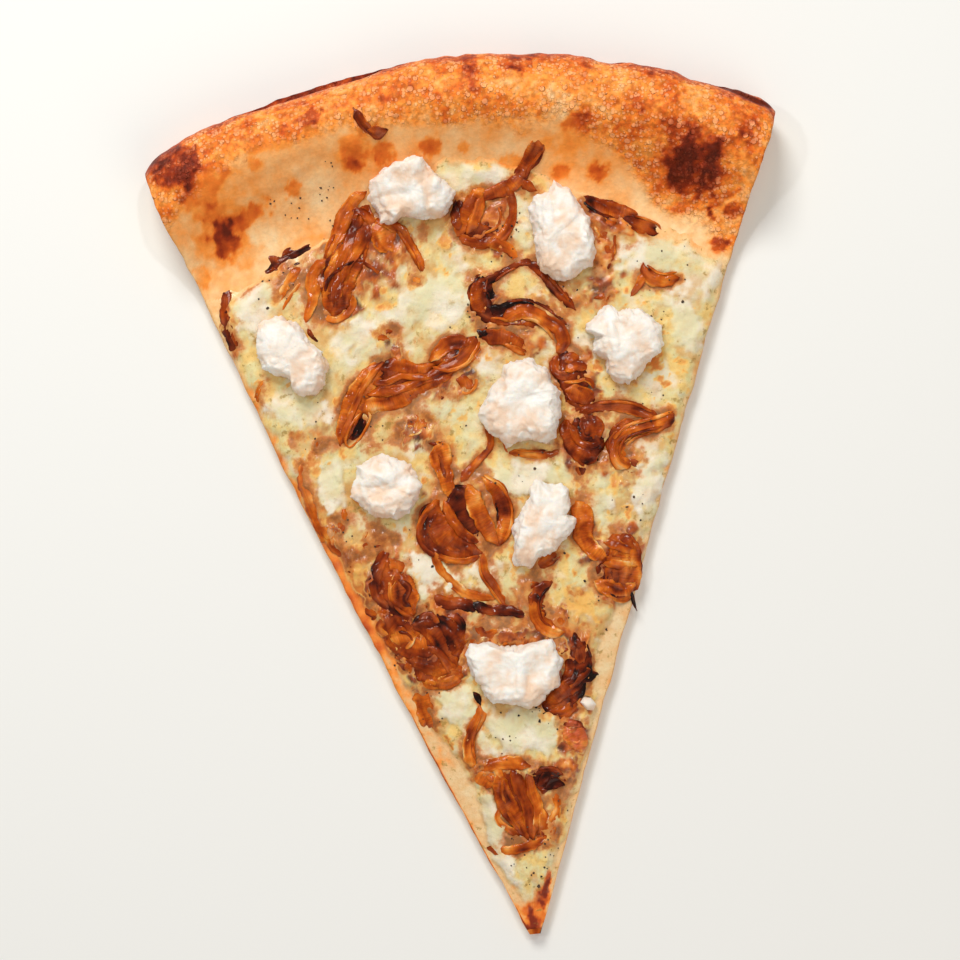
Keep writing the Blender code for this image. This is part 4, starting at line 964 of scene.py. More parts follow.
# Bits of onion away from the clusters: centre, half axes, number, mean tone.
BITS = [
    ((-24.5, 43), (1.6, 4.4), 4, 0.50), ((-18.7, 19.4), (3.4, 2.8), 5, 0.52),
    ((-12, 27), (2, 2.4), 2, 0.34), ((-37, -27), (2.2, 6), 6, 0.52),
    ((-1, -38.4), (10, 1.2), 6, 0.46), ((-38, -15), (3, 5), 3, 0.44), ((34, 54), (3, 4), 3, 0.46),
    ((36, 3), (3, 5), 3, 0.46), ((8, -29), (3, 5), 3, 0.36), ((13, -34), (4, 3), 2, 0.50),
    ((5, -90), (4, 3), 3, 0.56), ((-8, -73), (4, 1.6), 2, 0.56), ((22, 4), (3, 2), 2, 0.62),
    ((-66, 53), (1.2, 7), 3, 0.24), ((-47, 19), (5, 2), 2, 0.52), ((-14, 61), (1.6, 2.4), 2, 0.50),
    ((24, 52), (2, 3), 2, 0.34), ((-30, -10), (4, 3), 2, 0.44),
]
# The thin burnt end that hangs past the slice's right side: its points and widths.
WISP = [(33.6, -28, 1.6), (34.4, -30, 1.3), (34.7, -32, 1.0), (35.4, -34.4, 0.7)]


def spline(points, step):
    """Places along a smooth line through the points."""
    points = np.asarray(points, float)
    ends = np.vstack([2 * points[0] - points[1], points, 2 * points[-1] - points[-2]])
    places = []
    for i in range(1, len(ends) - 2):
        count = max(2, int(np.hypot(*(ends[i + 1] - ends[i])[:2]) / step))
        t = np.linspace(0, 1, count, endpoint=False)[:, None]
        a, b, c, d = ends[i - 1], ends[i], ends[i + 1], ends[i + 2]
        places.append(0.5 * (2 * b + (c - a) * t + (2 * a - 5 * b + 4 * c - d) * t**2
                             + (3 * b - a - 3 * c + d) * t**3))
    places.append(points[-1][None])
    return np.vstack(places)


def route_of(points, width, step):
    """A strand's line and its width along it; a point may bring its own width."""
    full = [tuple(point) if len(point) == 3 else (*point, width) for point in points]
    route = spline(full, step)
    return route[:, :2], np.maximum(route[:, 2], 0.5)


def towards(angle):
    return np.array([math.cos(angle), math.sin(angle)])


def mat_strands(centre, half, count, tone, seed):
    """Short curled strands scattered over an oval."""
    rng = np.random.default_rng(seed)
    strands = []
    for _ in range(count):
        turn, away = rng.uniform(0, 2 * math.pi), math.sqrt(rng.uniform(0, 1))
        start = np.array(centre) + np.array(half) * away * towards(turn)
        heading, bend = rng.uniform(0, 2 * math.pi), rng.uniform(-0.7, 0.7)
        points = [start]
        for _ in range(3):
            points.append(points[-1] + rng.uniform(0.7, 2.2) * towards(heading))
            heading += bend
        points = np.array(points) - (points[-1] - points[0]) / 2
        width = rng.uniform(1.4, 4.2)
        own_tone = np.clip(tone + rng.normal(0, 0.15), 0.05, 0.9)
        if side_depth(points[:, 0], points[:, 1])[0].min() > width / 2 + 0.6:
            strands.append((width, own_tone, rng.uniform(0.4, 1.1), points))
    return strands


def all_strands():
    """Every cluster's strands, with the wisp, the stray bits and the mats under the clusters."""
    strands = {name: list(group) for name, group in ONION.items()}
    strands["onion_22"].append((1.0, 0.10, -0.2, WISP))
    strands["bits"] = []
    for index, (centre, half, count, tone) in enumerate(BITS):
        strands["bits"] += mat_strands(centre, half, count, tone, 90 + index)
    for index, (name, centre, half, count, tone) in enumerate(MATS):
        strands[name] = mat_strands(centre, half, count, tone, 40 + index) + strands[name]
    return strands


STRANDS = all_strands()


def strand_cover():
    """How much of each cell onion covers, seen from above."""
    cover = np.zeros(GRID["bed"].shape)
    for group in STRANDS.values():
        for width, _, _, points in group:
            path, local = route_of(points, width, 0.8)
            for (x, y), across in zip(path, local):
                reach = np.arange(-across / 2, across / 2 + 0.1, CELL)
                dx, dy = np.meshgrid(reach, reach)
                inside = dx**2 + dy**2 <= (across / 2) ** 2
                cover[cell_of(x + dx[inside], y + dy[inside])] = 1.0
    return cover


COVER = strand_cover()
CLOSE_ONION = blurred(COVER, 0.7)
NEAR_ONION = blurred(COVER, 1.7)
WIDE_ONION = blurred(COVER, 4.5)


def cheese_paint(x, y, depth, side, right, thick):
    """The cheese's broad colour with the bare dough along its margins, and how bare it is."""
    broad = fractal(x, y, 0, 15, 101, 3)
    mottle = fractal(x, y, 0, 4.5, 102, 3)
    fine = fractal(x, y, 0, 1.6, 103, 2)
    colour = blend(srgb(CHEESE_GREEN), srgb(CHEESE_TAN), smooth(0.26 + 1.5 * broad + 1.2 * mottle))
    yellow = smooth(0.22 - 1.4 * mottle - 0.9 * broad + 0.2 * fine)
    colour = blend(colour, srgb(CHEESE_YELLOW), 0.85 * yellow)
    mash = mash_level(x, y) * smooth(thick / 0.6)
    folds = mash_folds(x, y)
    # The mash's level is a random tone, lighter on its folds and darker in its creases: painted light
    # and shade.
    mash_tone_and_fold_shade = 0.42 + 0.28 * folds + 0.44 * fractal(x, y, 0, 5.5, 145, 3) + 0.10 * fine
    share = smooth(2.3 * mash - 0.62 + 0.8 * mottle + 0.15 * folds)
    cooked = ramp(ONION_RAMP, np.clip(mash_tone_and_fold_shade, 0.12, 1))
    pale = smooth(2.6 * fractal(x, y, 0, 3.6, 146, 2) - 0.55)
    cooked = blend(cooked, srgb(MASH_PALE), 0.55 * pale)
    colour = blend(colour, cooked, 0.95 * share)
    bare = 1 - smooth((thick - 0.1 + 0.25 * fine) / 1.1)
    level = crust_bake(x, y, depth)
    low = np.where(right, 0.10, np.interp(y, *MARGIN_BAKE))
    low = low + 0.22 * mottle + 0.10 * smooth(1 - side / 1.6)
    low = low + np.where(right | (y > -55), 0.0, 0.75 * smooth(1.2 - side / 0.6))
    level = np.where(y < 40, low, level)
    level, bare = tip_char(x, y, level, bare)
    dough = ramp(BAKE_RAMP, np.clip(level, 0, 0.86))
    floury = smooth((30 - y) / 10) * smooth((0.42 - level) / 0.2)
    dough = blend(dough, srgb(DOUGH_FLOURY), 0.6 * floury)
    colour = blend(colour, dough, bare)
    return np.concatenate([colour, bare[..., None]], axis=-1)


def cheese_marks(x, y, bare):
    """Smooth levels that the material breaks up finely: curd, onion stain, toast, gloss."""
    mottle = fractal(x, y, 0, 5, 106, 3)
    patch = fractal(x, y, 0, 8, 107, 3)
    pools = pool_level(x, y)
    mash = mash_level(x, y)
    curd = smooth(1.3 * pools) * 0.70 + 0.50 * smooth(0.30 + 1.9 * patch + 0.9 * mottle)
    stain = np.minimum(1.0, 1.5 * sample(NEAR_ONION, x, y) + 0.35 * sample(WIDE_ONION, x, y))
    stain = np.maximum(stain, strongest(x, y, STAINS, 0.45, 7, 1300, 0.8))
    stain = stain * (0.95 + 0.9 * mottle) * (1 - 0.75 * smooth(pools))
    toast = strongest(x, y, TOASTS, 0.5, 11, 2100, 1.9)
    scatter = fractal(x, y, 0, 4.2, 105, 3)
    toast = np.maximum(toast, 0.75 * smooth(2.3 * scatter - 0.65))
    toast = toast * (1 - 0.9 * smooth(1.6 * pools))
    toast = np.maximum(toast, 0.75 * sample(CLOSE_ONION, x, y) * smooth(0.6 + 1.4 * mottle))
    kept = (1 - bare) * (1 - smooth(1.4 * mash - 0.3))
    gloss = 0.30 + 0.3 * stain + 0.5 * mash
    return np.clip(np.stack([curd * kept, stain * kept, toast * kept, gloss], axis=-1), 0, 1)


# ---------------------------------------------------------------- meshes
def add_colours(mesh, name, values):
    attribute = mesh.color_attributes.new(name, "FLOAT_COLOR", "POINT")
    attribute.data.foreach_set("color", np.ascontiguousarray(values, dtype=np.float32).ravel())


def make_piece(name, points, faces, paint, material, slot, *nodes):
    """A mesh object from millimetre points, painted, riding on the slice."""
    mesh = bpy.data.meshes.new(name)
    mesh.from_pydata((np.asarray(points) * MM).tolist(), [], faces)
    if paint is not None:
        add_colours(mesh, "paint", paint)
    mesh.materials.append(material)
    mesh.shade_smooth()
    piece = bpy.data.objects.new(name, mesh)
    bpy.context.scene.collection.objects.link(piece)
    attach(piece, "root")
    if nodes:
        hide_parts(*nodes)
    return piece


def slab(top, bottom, walls):
    """A closed block: a fine top grid, a coarser bottom grid and walls with middle points.

    top is rows x columns x 3, and bottom has every UNDERSIDE_STEP-th column of it.
    walls holds, for each row, the points down the left side and down the right side.
    """
    rows, columns = top.shape[:2]
    low_columns = bottom.shape[1]
    levels = walls[0].shape[1]
    top_at = np.arange(rows * columns).reshape(rows, columns)
    low_at = rows * columns + np.arange(rows * low_columns).reshape(rows, low_columns)
    wall_start = rows * (columns + low_columns)
    left_at = wall_start + np.arange(rows * levels).reshape(rows, levels)
    right_at = left_at + rows * levels
    points = np.concatenate([a.reshape(-1, 3) for a in (top, bottom, walls[0], walls[1])])

    def grid_faces(at, flip):
        a, b, c, d = at[:-1, :-1], at[:-1, 1:], at[1:, 1:], at[1:, :-1]
        order = (d, c, b, a) if flip else (a, b, c, d)
        return np.stack([corner.ravel() for corner in order], axis=1).tolist()

    left = np.concatenate([top_at[:, :1], left_at, low_at[:, :1]], axis=1)
    right = np.concatenate([top_at[:, -1:], right_at, low_at[:, -1:]], axis=1)
    faces = grid_faces(top_at, False) + grid_faces(low_at, True)
    faces += grid_faces(left, True) + grid_faces(right, False)
    for row, flip in ((0, False), (rows - 1, True)):
        for k in range(low_columns - 1):
            upper = top_at[row, k * UNDERSIDE_STEP:(k + 1) * UNDERSIDE_STEP + 1].tolist()
            lower = low_at[row, k:k + 2].tolist()
            face = lower[:1]
            if k == 0:
                face += left_at[row, ::-1].tolist()
            face += upper
            if k == low_columns - 2:
                face += right_at[row].tolist()
            face += lower[1:]
            faces.append(face if flip else face[::-1])
    return points, faces


def side_wander(u, x, y, more=0.0):
    """How far in the cut sides wander, signed by side; the cheese stands in a little more."""
    wander = 0.35 + 0.55 * fractal(y, 3.0 * np.sign(x), 0, 9, 121, 3)
    return np.sign(u) * np.abs(u) ** 8 * (np.clip(wander, 0.0, 1.6) + more)


def wall_points(top, bottom, column, shares):
    """Points down a cut side between the top's edge and the bottom's edge."""
    share = shares[None, :, None]
    return top[:, column, None] * (1 - share) + bottom[:, column, None] * share


def crumb_pores(points):
    """The crumb's small unevenness and its open holes, over the height of a cut side."""
    y, z = points[..., 1], 1.5 * points[..., 2]
    pore = fractal(y, z, 0, 2.2, 124, 3)
    return pore, smooth(2.6 * grain(y, z, 0, 3.6, 128) - 0.5)


def build_crust(material):
    """The dough: crumb at its cut sides, blistered rim, browned underside."""
    u = np.linspace(-1, 1, DOUGH_COLUMNS + 1)[None, :]
    rim = RIM_WIDTH * np.linspace(1, 0, DOUGH_RIM_ROWS + 1)[:, None] ** 1.35
    length = ray_length(u)
    base = np.linspace(0, 1, DOUGH_BASE_ROWS, endpoint=False)[:, None] ** 0.9
    depth = np.concatenate([RIM_WIDTH + (length - RIM_WIDTH) * (1 - base), rim + 0 * length])
    x, y = plan(u + 0 * depth, 1 - depth / length)
    # The cut sides and the crust's edge wander a little, and never past the solid's box.
    x = x - side_wander(u, x, y)
    edge_in = 0.45 + 0.8 * fractal(x, 0.0, 0, 11, 122, 3)
    y = y - np.exp(-depth / 6) * np.clip(edge_in, 0.0, 2.0)
    lip = lip_reach(x)
    side, _ = side_depth(x, y)
    top_depth = np.maximum(depth - lip * smooth(1 - depth / 16), 0)
    height = rim_height(top_depth, x) + crust_relief(x, y, depth)
    flange = smooth(1 - (depth - lip * 0.55) / 0.8) * smooth(lip - 0.3)
    height = np.where(flange > 0, height - flange * (height - 3.4), height)
    height = height - 0.9 * smooth(1 - side / 1.6) * smooth((height - 6) / 6) ** 0.5
    foot = foot_height(depth) * (1 - 0.75 * smooth(lip))
    height = np.maximum(height, foot + 0.6)
    top = np.stack([x, y, height], axis=-1)
    under = 0.25 * np.maximum(0, grain(x, y, 0, 7, 123)) * smooth(side / 3) * smooth(depth / 6)
    bottom = np.stack([x, y, foot + under], axis=-1)[:, ::UNDERSIDE_STEP]

    def wall(column):
        middle = wall_points(top, bottom, column, CUT_SHARE)
        pore, hole = crumb_pores(middle)
        tall = (top[:, column, None, 2] - bottom[:, column, None, 2]) / 12
        dent = np.clip(0.25 + 0.6 * pore + 1.1 * hole, 0.0, 1.8) * np.clip(tall + 0.25, 0, 1)
        middle[..., 0] += (1 if column == 0 else -1) * dent * np.sin(math.pi * CUT_SHARE[None, :])
        return middle

    walls = (wall(0), wall(-1))
    points, faces = slab(top, bottom, walls)

    top_bake = crust_bake(x, y, depth, np.where(depth < RIM_PEAK_DEPTH, height, RIM_PEAK_HEIGHT))
    flat = np.where(depth > RIM_WIDTH, 1.0, 0.0)
    top_bake = top_bake + flat * (0.05 + 0.05 * fractal(x, y, 0, 5, 125, 2))
    top_bake, _ = tip_char(x, y, top_bake)
    top_colour = ramp(BAKE_RAMP, np.clip(top_bake, 0, 1))
    band = outer_band(x, y, depth)
    low = np.moveaxis(bottom, -1, 0)
    foot_share = smooth(1 - edge_depth(low[0], low[1]) / 8)
    low_bake = 0.50 + 0.20 * fractal(*low, 9, 126, 3) + 0.16 * foot_share
    low_bake = low_bake + (0.10 + 0.20 * foot_share) * fractal(*low, 3.2, 127, 3)
    low_colour = ramp(BAKE_RAMP, np.clip(low_bake, 0, 1))
    wall_colours = []
    for side_points in walls:
        share = CUT_SHARE[None, :]
        pore, hole = crumb_pores(side_points)
        # The crumb's open holes are painted darker, as painted shade in the recesses.
        crumb = 0.09 + 0.10 * pore + 0.16 * hole
        skin = 0.50 * smooth((share - 0.74) / 0.2) + 0.16 * smooth((0.2 - share) / 0.15)
        wall_colours.append(ramp(BAKE_RAMP, np.clip(crumb + skin, 0, 1)))
    colours = [top_colour, low_colour, *wall_colours]
    details = [band, foot_share, *[0 * colour[..., 0] for colour in wall_colours]]
    paint = np.concatenate([
        np.concatenate([colour.reshape(-1, 3), detail.reshape(-1, 1)], axis=1)
        for colour, detail in zip(colours, details)])
    return make_piece("crust", points, faces, paint, material, "crust", "dough")


def build_cheese(material):
    """The melted cheese: lumps, pools and mashed onion on top, following the dough below."""
    u = np.linspace(-1, 1, CHEESE_COLUMNS + 1)[None, :]
    length = ray_length(u)
    last_depth = CHEESE_EDGE_DEPTH - 7 - CHEESE_LOBE_DEPTH * np.exp(
        -((u * CORNER_X * 0.85 - CHEESE_LOBE_X) / CHEESE_LOBE_WIDTH) ** 2)
    t = np.linspace(0, 1, CHEESE_ROWS + 1)[:, None]
    v = 0.006 + (1 - last_depth / length - 0.006) * t
    x, y = plan(u + 0 * v, v)
    x = x - side_wander(u, x, y, 0.12)
    depth = edge_depth(x, y)
    side, right = side_depth(x, y)
    thick = cheese_thickness(x, y, depth, side, right)
    dough = rim_height(depth, x) + crust_relief(x, y, depth)
    # Where the cheese runs out its skin dips just under the dough.
    film = np.where(y < 60, 0.10, -0.35)
    rise = np.maximum(thick, film) + 0.02
    border = smooth(np.minimum(side / 0.5, np.minimum(t, 1 - t) * CHEESE_ROWS / 4))
    height = dough + rise * (0.55 + 0.45 * border)
    height = np.where(t > 1 - 2.5 / CHEESE_ROWS, dough - 0.5, height)
    top = np.stack([x, y, height], axis=-1)
    low_height = np.minimum(dough - 0.7, height - 0.3)
    bottom = np.stack([x, y, low_height], axis=-1)[:, ::UNDERSIDE_STEP]

    def wall(column):
        middle = wall_points(top, bottom, column, np.array(CHEESE_SHARE))
        bulge = 0.18 * np.maximum(0, 1 + grain(middle[..., 1], middle[..., 2], 0, 3, 131))
        middle[..., 0] += (-1 if column == 0 else 1) * bulge * np.clip(thick[:, column, None] / 2, 0, 1)
        return middle

    walls = (wall(0), wall(-1))
    points, faces = slab(top, bottom, walls)
    full = cheese_paint(x, y, depth, side, right, thick)
    marks = cheese_marks(x, y, full[..., 3])

    def spread(values):
        edges = [np.repeat(values[:, column, None], len(CHEESE_SHARE), axis=1) for column in (0, -1)]
        parts = (values, values[:, ::UNDERSIDE_STEP], *edges)
        return np.concatenate([part.reshape(-1, 4) for part in parts])

    piece = make_piece("melted_cheese", points, faces, spread(full), material, "cheese", "cheese")
    add_colours(piece.data, "marks", spread(marks))
    return piece


def eased(values, reach):
    """Values evened out along their first axis."""
    steps = np.arange(-2 * reach, 2 * reach + 1)
    weights = np.exp(-0.5 * (steps / reach) ** 2)
    padding = [(2 * reach, 2 * reach)] + [(0, 0)] * (values.ndim - 1)
    padded = np.pad(values, padding, mode="edge")
    total = sum(w * padded[i:i + len(values)] for i, w in enumerate(weights))
    return total / weights.sum()


def ribbon(width, tone, sink, points, seed, bed):
    """A caramelized strip that drapes over what is under it, with its colour and grain."""
    path, local_width = route_of(points, width, STRAND_STEP)
    size = local_width.mean()
    step = np.hypot(*np.diff(path, axis=0).T)
    along = np.concatenate([[0], np.cumsum(step)])
    heading = np.gradient(path, axis=0)
    heading = eased(heading / np.maximum(np.hypot(*heading.T), 1e-6)[:, None], 2)
    side = np.stack([-heading[:, 1], heading[:, 0]], axis=1)
    end = np.minimum(along, along[-1] - along)
    first_tip, last_tip = hashed(seed, 5, 1, 9), hashed(seed, 5, 2, 9)
    tip = np.where(along < along[-1] / 2, first_tip, last_tip)
    blunt = 0.18 + 0.5 * tip + (0.82 - 0.5 * tip) * smooth(end / (0.25 * size + 0.4 + 1.6 * (1 - tip)))
    slant = 0.7 * math.sin(seed * 12.9)

    def edge(which):
        own = seed * 7.1 + which * 3.3
        wander = 0.30 * grain(along, own, 0, 3.6, 201) + 0.22 * grain(along, own, 0, 1.2, 202)
        return local_width / 2 * blunt * (1 + wander * min(1.0, 3.4 / size))

    points_round = 2 * int(5 + 2.0 * min(local_width.max(), 9))
    turn = np.linspace(0, 2 * math.pi, points_round, endpoint=False)[None, :]
    across = np.sign(np.cos(turn)) * np.abs(np.cos(turn)) ** 0.8
    through = np.sin(turn)
    over = np.where(across > 0, edge(1)[:, None], edge(2)[:, None]) * across
    length = along[:, None]
    thick = np.clip(0.03 * size + 0.26, 0.3, 0.5) * (0.45 + 0.55 * smooth(end / 1.2))
    crown = np.clip(0.12 * size, 0.18, 0.5) * (0.45 + grain(along, seed, 0, 6.5, 203)[:, None])
    crown = crown * min(1.0, along[-1] / (3.5 * size))
    fold_across, fold_along = np.clip(0.30 * size + 0.4, 0.9, 1.8), min(size + 3.0, 8.0)
    ridge = grain(over / fold_across, length / fold_along, seed, 1.0, 204)
    broad = smooth((size - 2.6) / 2.6)
    swerve = over + 0.9 * grain(over, length, seed, 2.6, 212)
    swerve = swerve + 1.3 * grain(over, length, seed, 5.5, 216)
    pleat = (1 - 2.8 * np.abs(grain(swerve / 2.0, length / 5.0, seed, 1.0, 211))) * broad
    rim = np.exp(-(((np.abs(across) - 0.88) / 0.12) ** 2))
    rim = rim * smooth(0.4 + 1.6 * grain(length, np.sign(across) * 3, seed, 5.0, 205))
    crimp = grain(over / 2.6, length / 0.55, seed * 1.3, 1.0, 206) * broad
    rise = thick[:, None] / 2 * through * (1 - 0.4 * np.abs(across) ** 5)
    rise = rise + crown * (1 - across**2) + np.clip(0.10 * size, 0.14, 0.45) * ridge
    rise = rise + np.clip(0.09 * size, 0.15, 0.4) * rim + 0.06 * crimp * (through > 0) + 0.22 * pleat
    wrinkle = fractal(over + 0 * length, length + 0 * over, seed, 1.5, 213, 2)
    rise = rise + 0.13 * wrinkle - 0.16 * np.abs(across) ** 4
    lean = 0.5 * min(1.0, 3.0 / size) * grain(along, seed, 0, 7.0, 207)[:, None]
    shift = over * np.cos(lean) - rise * np.sin(lean)
    up = over * np.sin(lean) * 0.7 + rise * np.cos(lean)
    slide = slant * over * (1 - smooth(end / (0.5 * size + 1)))[:, None]
    x = path[:, 0, None] + side[:, 0, None] * shift + heading[:, 0, None] * slide
    y = path[:, 1, None] + side[:, 1, None] * shift + heading[:, 1, None] * slide

    # The strip mostly follows what is right under each point, and partly spans over it.
    local = eased(sample(bed, x, y), 2)
    span = eased(0.6 * local.max(axis=1) + 0.4 * local.mean(axis=1), 4)[:, None]
    settle = 0.6 * sink + 0.35 * (1 - smooth(end / 2.5))
    z = 0.72 * local + 0.28 * span + thick[:, None] / 2 - settle[:, None] + up
    ring = np.stack([x, y, z], axis=-1)

    outer = smooth((np.abs(across) - 0.70) / 0.24)
    shared = fractal(x, y, 0, 8.0, 208, 2)
    own = fractal(x, y, seed, 3.0, 214, 2)
    # Over the strip's own random tone, the level is painted lighter where its wrinkles, crimps, ridges
    # and pleats rise, and darker in their hollows and on its underside: painted light and shade.
    level = 0.80 * tone + 0.07 + 0.36 * shared + 0.12 * own + 0.04 * crimp + 0.10 * wrinkle
    level = level + 0.17 * outer * (0.2 + 1.9 * grain(length, np.sign(across) * 2, seed, 4.0, 209))
    level = level - 0.26 * smooth(-0.20 - 1.5 * ridge) + 0.14 * smooth(1.5 * ridge - 0.1)
    level = level + 0.10 * np.clip(pleat, -1, 1)
    level = level - 0.08 * (1 - smooth(end / 1.2))[:, None] - 0.12 * (through < -0.2)
    # The sheen is a painted highlight, strongest on the ridges.
    sheen = smooth(0.05 + 1.4 * grain(x, y, seed, 3.2, 210) + 0.7 * ridge) * (1 - outer)
    colour = ramp(ONION_RAMP, np.clip(level, 0, 1))
    colour = blend(colour, srgb(ONION_SHEEN), 0.24 * sheen * smooth((level - 0.1) / 0.3))
    rosy = spot(x, y, ROSY_PLACE) * smooth(0.6 + grain(x, y, seed, 1.6, 215))
    colour = blend(colour, srgb(ONION_ROSY), 0.75 * rosy * (level > 0.3))
    place = np.stack([over + 0 * length, length + 0 * over, 0 * over + seed], axis=-1)
    return ring, colour, place


def raise_bed(bed, ring):
    """Lets what is laid later lie over this strand."""
    x, y, z = ring.reshape(-1, 3).T
    np.maximum.at(bed, cell_of(x, y), z)


def tube_faces(rows, columns, start):
    """The faces of a closed tube of rings, whose first point is number start."""
    at = start + np.arange(rows * columns).reshape(rows, columns)
    after = np.roll(at, -1, axis=1)
    corners = (at[:-1], after[:-1], after[1:], at[1:])
    quads = np.stack([corner.ravel() for corner in corners], axis=1)
    return quads.tolist() + [at[0, ::-1].tolist(), at[-1].tolist()]


def build_onion(material):
    """Every cluster of strands, each laid over the cheese and over the strands before it."""
    bed = GRID["bed"].copy()
    for number, (node, strands) in enumerate(STRANDS.items(), start=1):
        points, faces, paint, places = [], [], [], []
        count = 0
        for index, (width, tone, sink, route) in enumerate(strands):
            ring, colour, grain_place = ribbon(width, tone, sink, route, number * 40 + index, bed)
            raise_bed(bed, ring)
            rows, columns = ring.shape[:2]
            faces += tube_faces(rows, columns, count)
            count += rows * columns
            points.append(ring.reshape(-1, 3))
            places.append(grain_place.reshape(-1, 3))
            broad = float(route_of(route, width, 1.0)[1].mean() > BROAD_STRAND)
            crossed = np.full(colour.shape[:2] + (1,), broad)
            paint.append(np.concatenate([colour, crossed], axis=-1).reshape(-1, 4))
        nodes = () if node == "bits" else (node,)
        piece = make_piece(f"onion_strands_{number}", np.concatenate(points), faces,
                           np.concatenate(paint), material, "onion", *nodes)
        attribute = piece.data.attributes.new("grain", "FLOAT_VECTOR", "POINT")
        attribute.data.foreach_set("vector", np.concatenate(places).astype(np.float32).ravel())
    return bed


BED_AROUND = blurred(GRID["bed"], 2.5)


# Rings down a dollop's foot: share of its reach, height over the bed in dollop heights.
RICOTTA_FOOT_RINGS = ((0.995, 0.10), (0.975, 0.02), (0.93, -0.08))


def outline_radii(centre, outline):
    """Angles and radii of an outline's corners about its centre, in order of angle."""
    offset = np.array(outline) - np.array(centre)
    dense = []
    for start, end in zip(offset, np.roll(offset, -1, axis=0)):
        dense += [start + (end - start) * t for t in np.linspace(0, 1, 6, endpoint=False)]
    dense = np.array(dense)
    angle, radius = np.arctan2(dense[:, 1], dense[:, 0]), np.hypot(dense[:, 0], dense[:, 1])
    order = np.argsort(angle)
    return angle[order], radius[order]


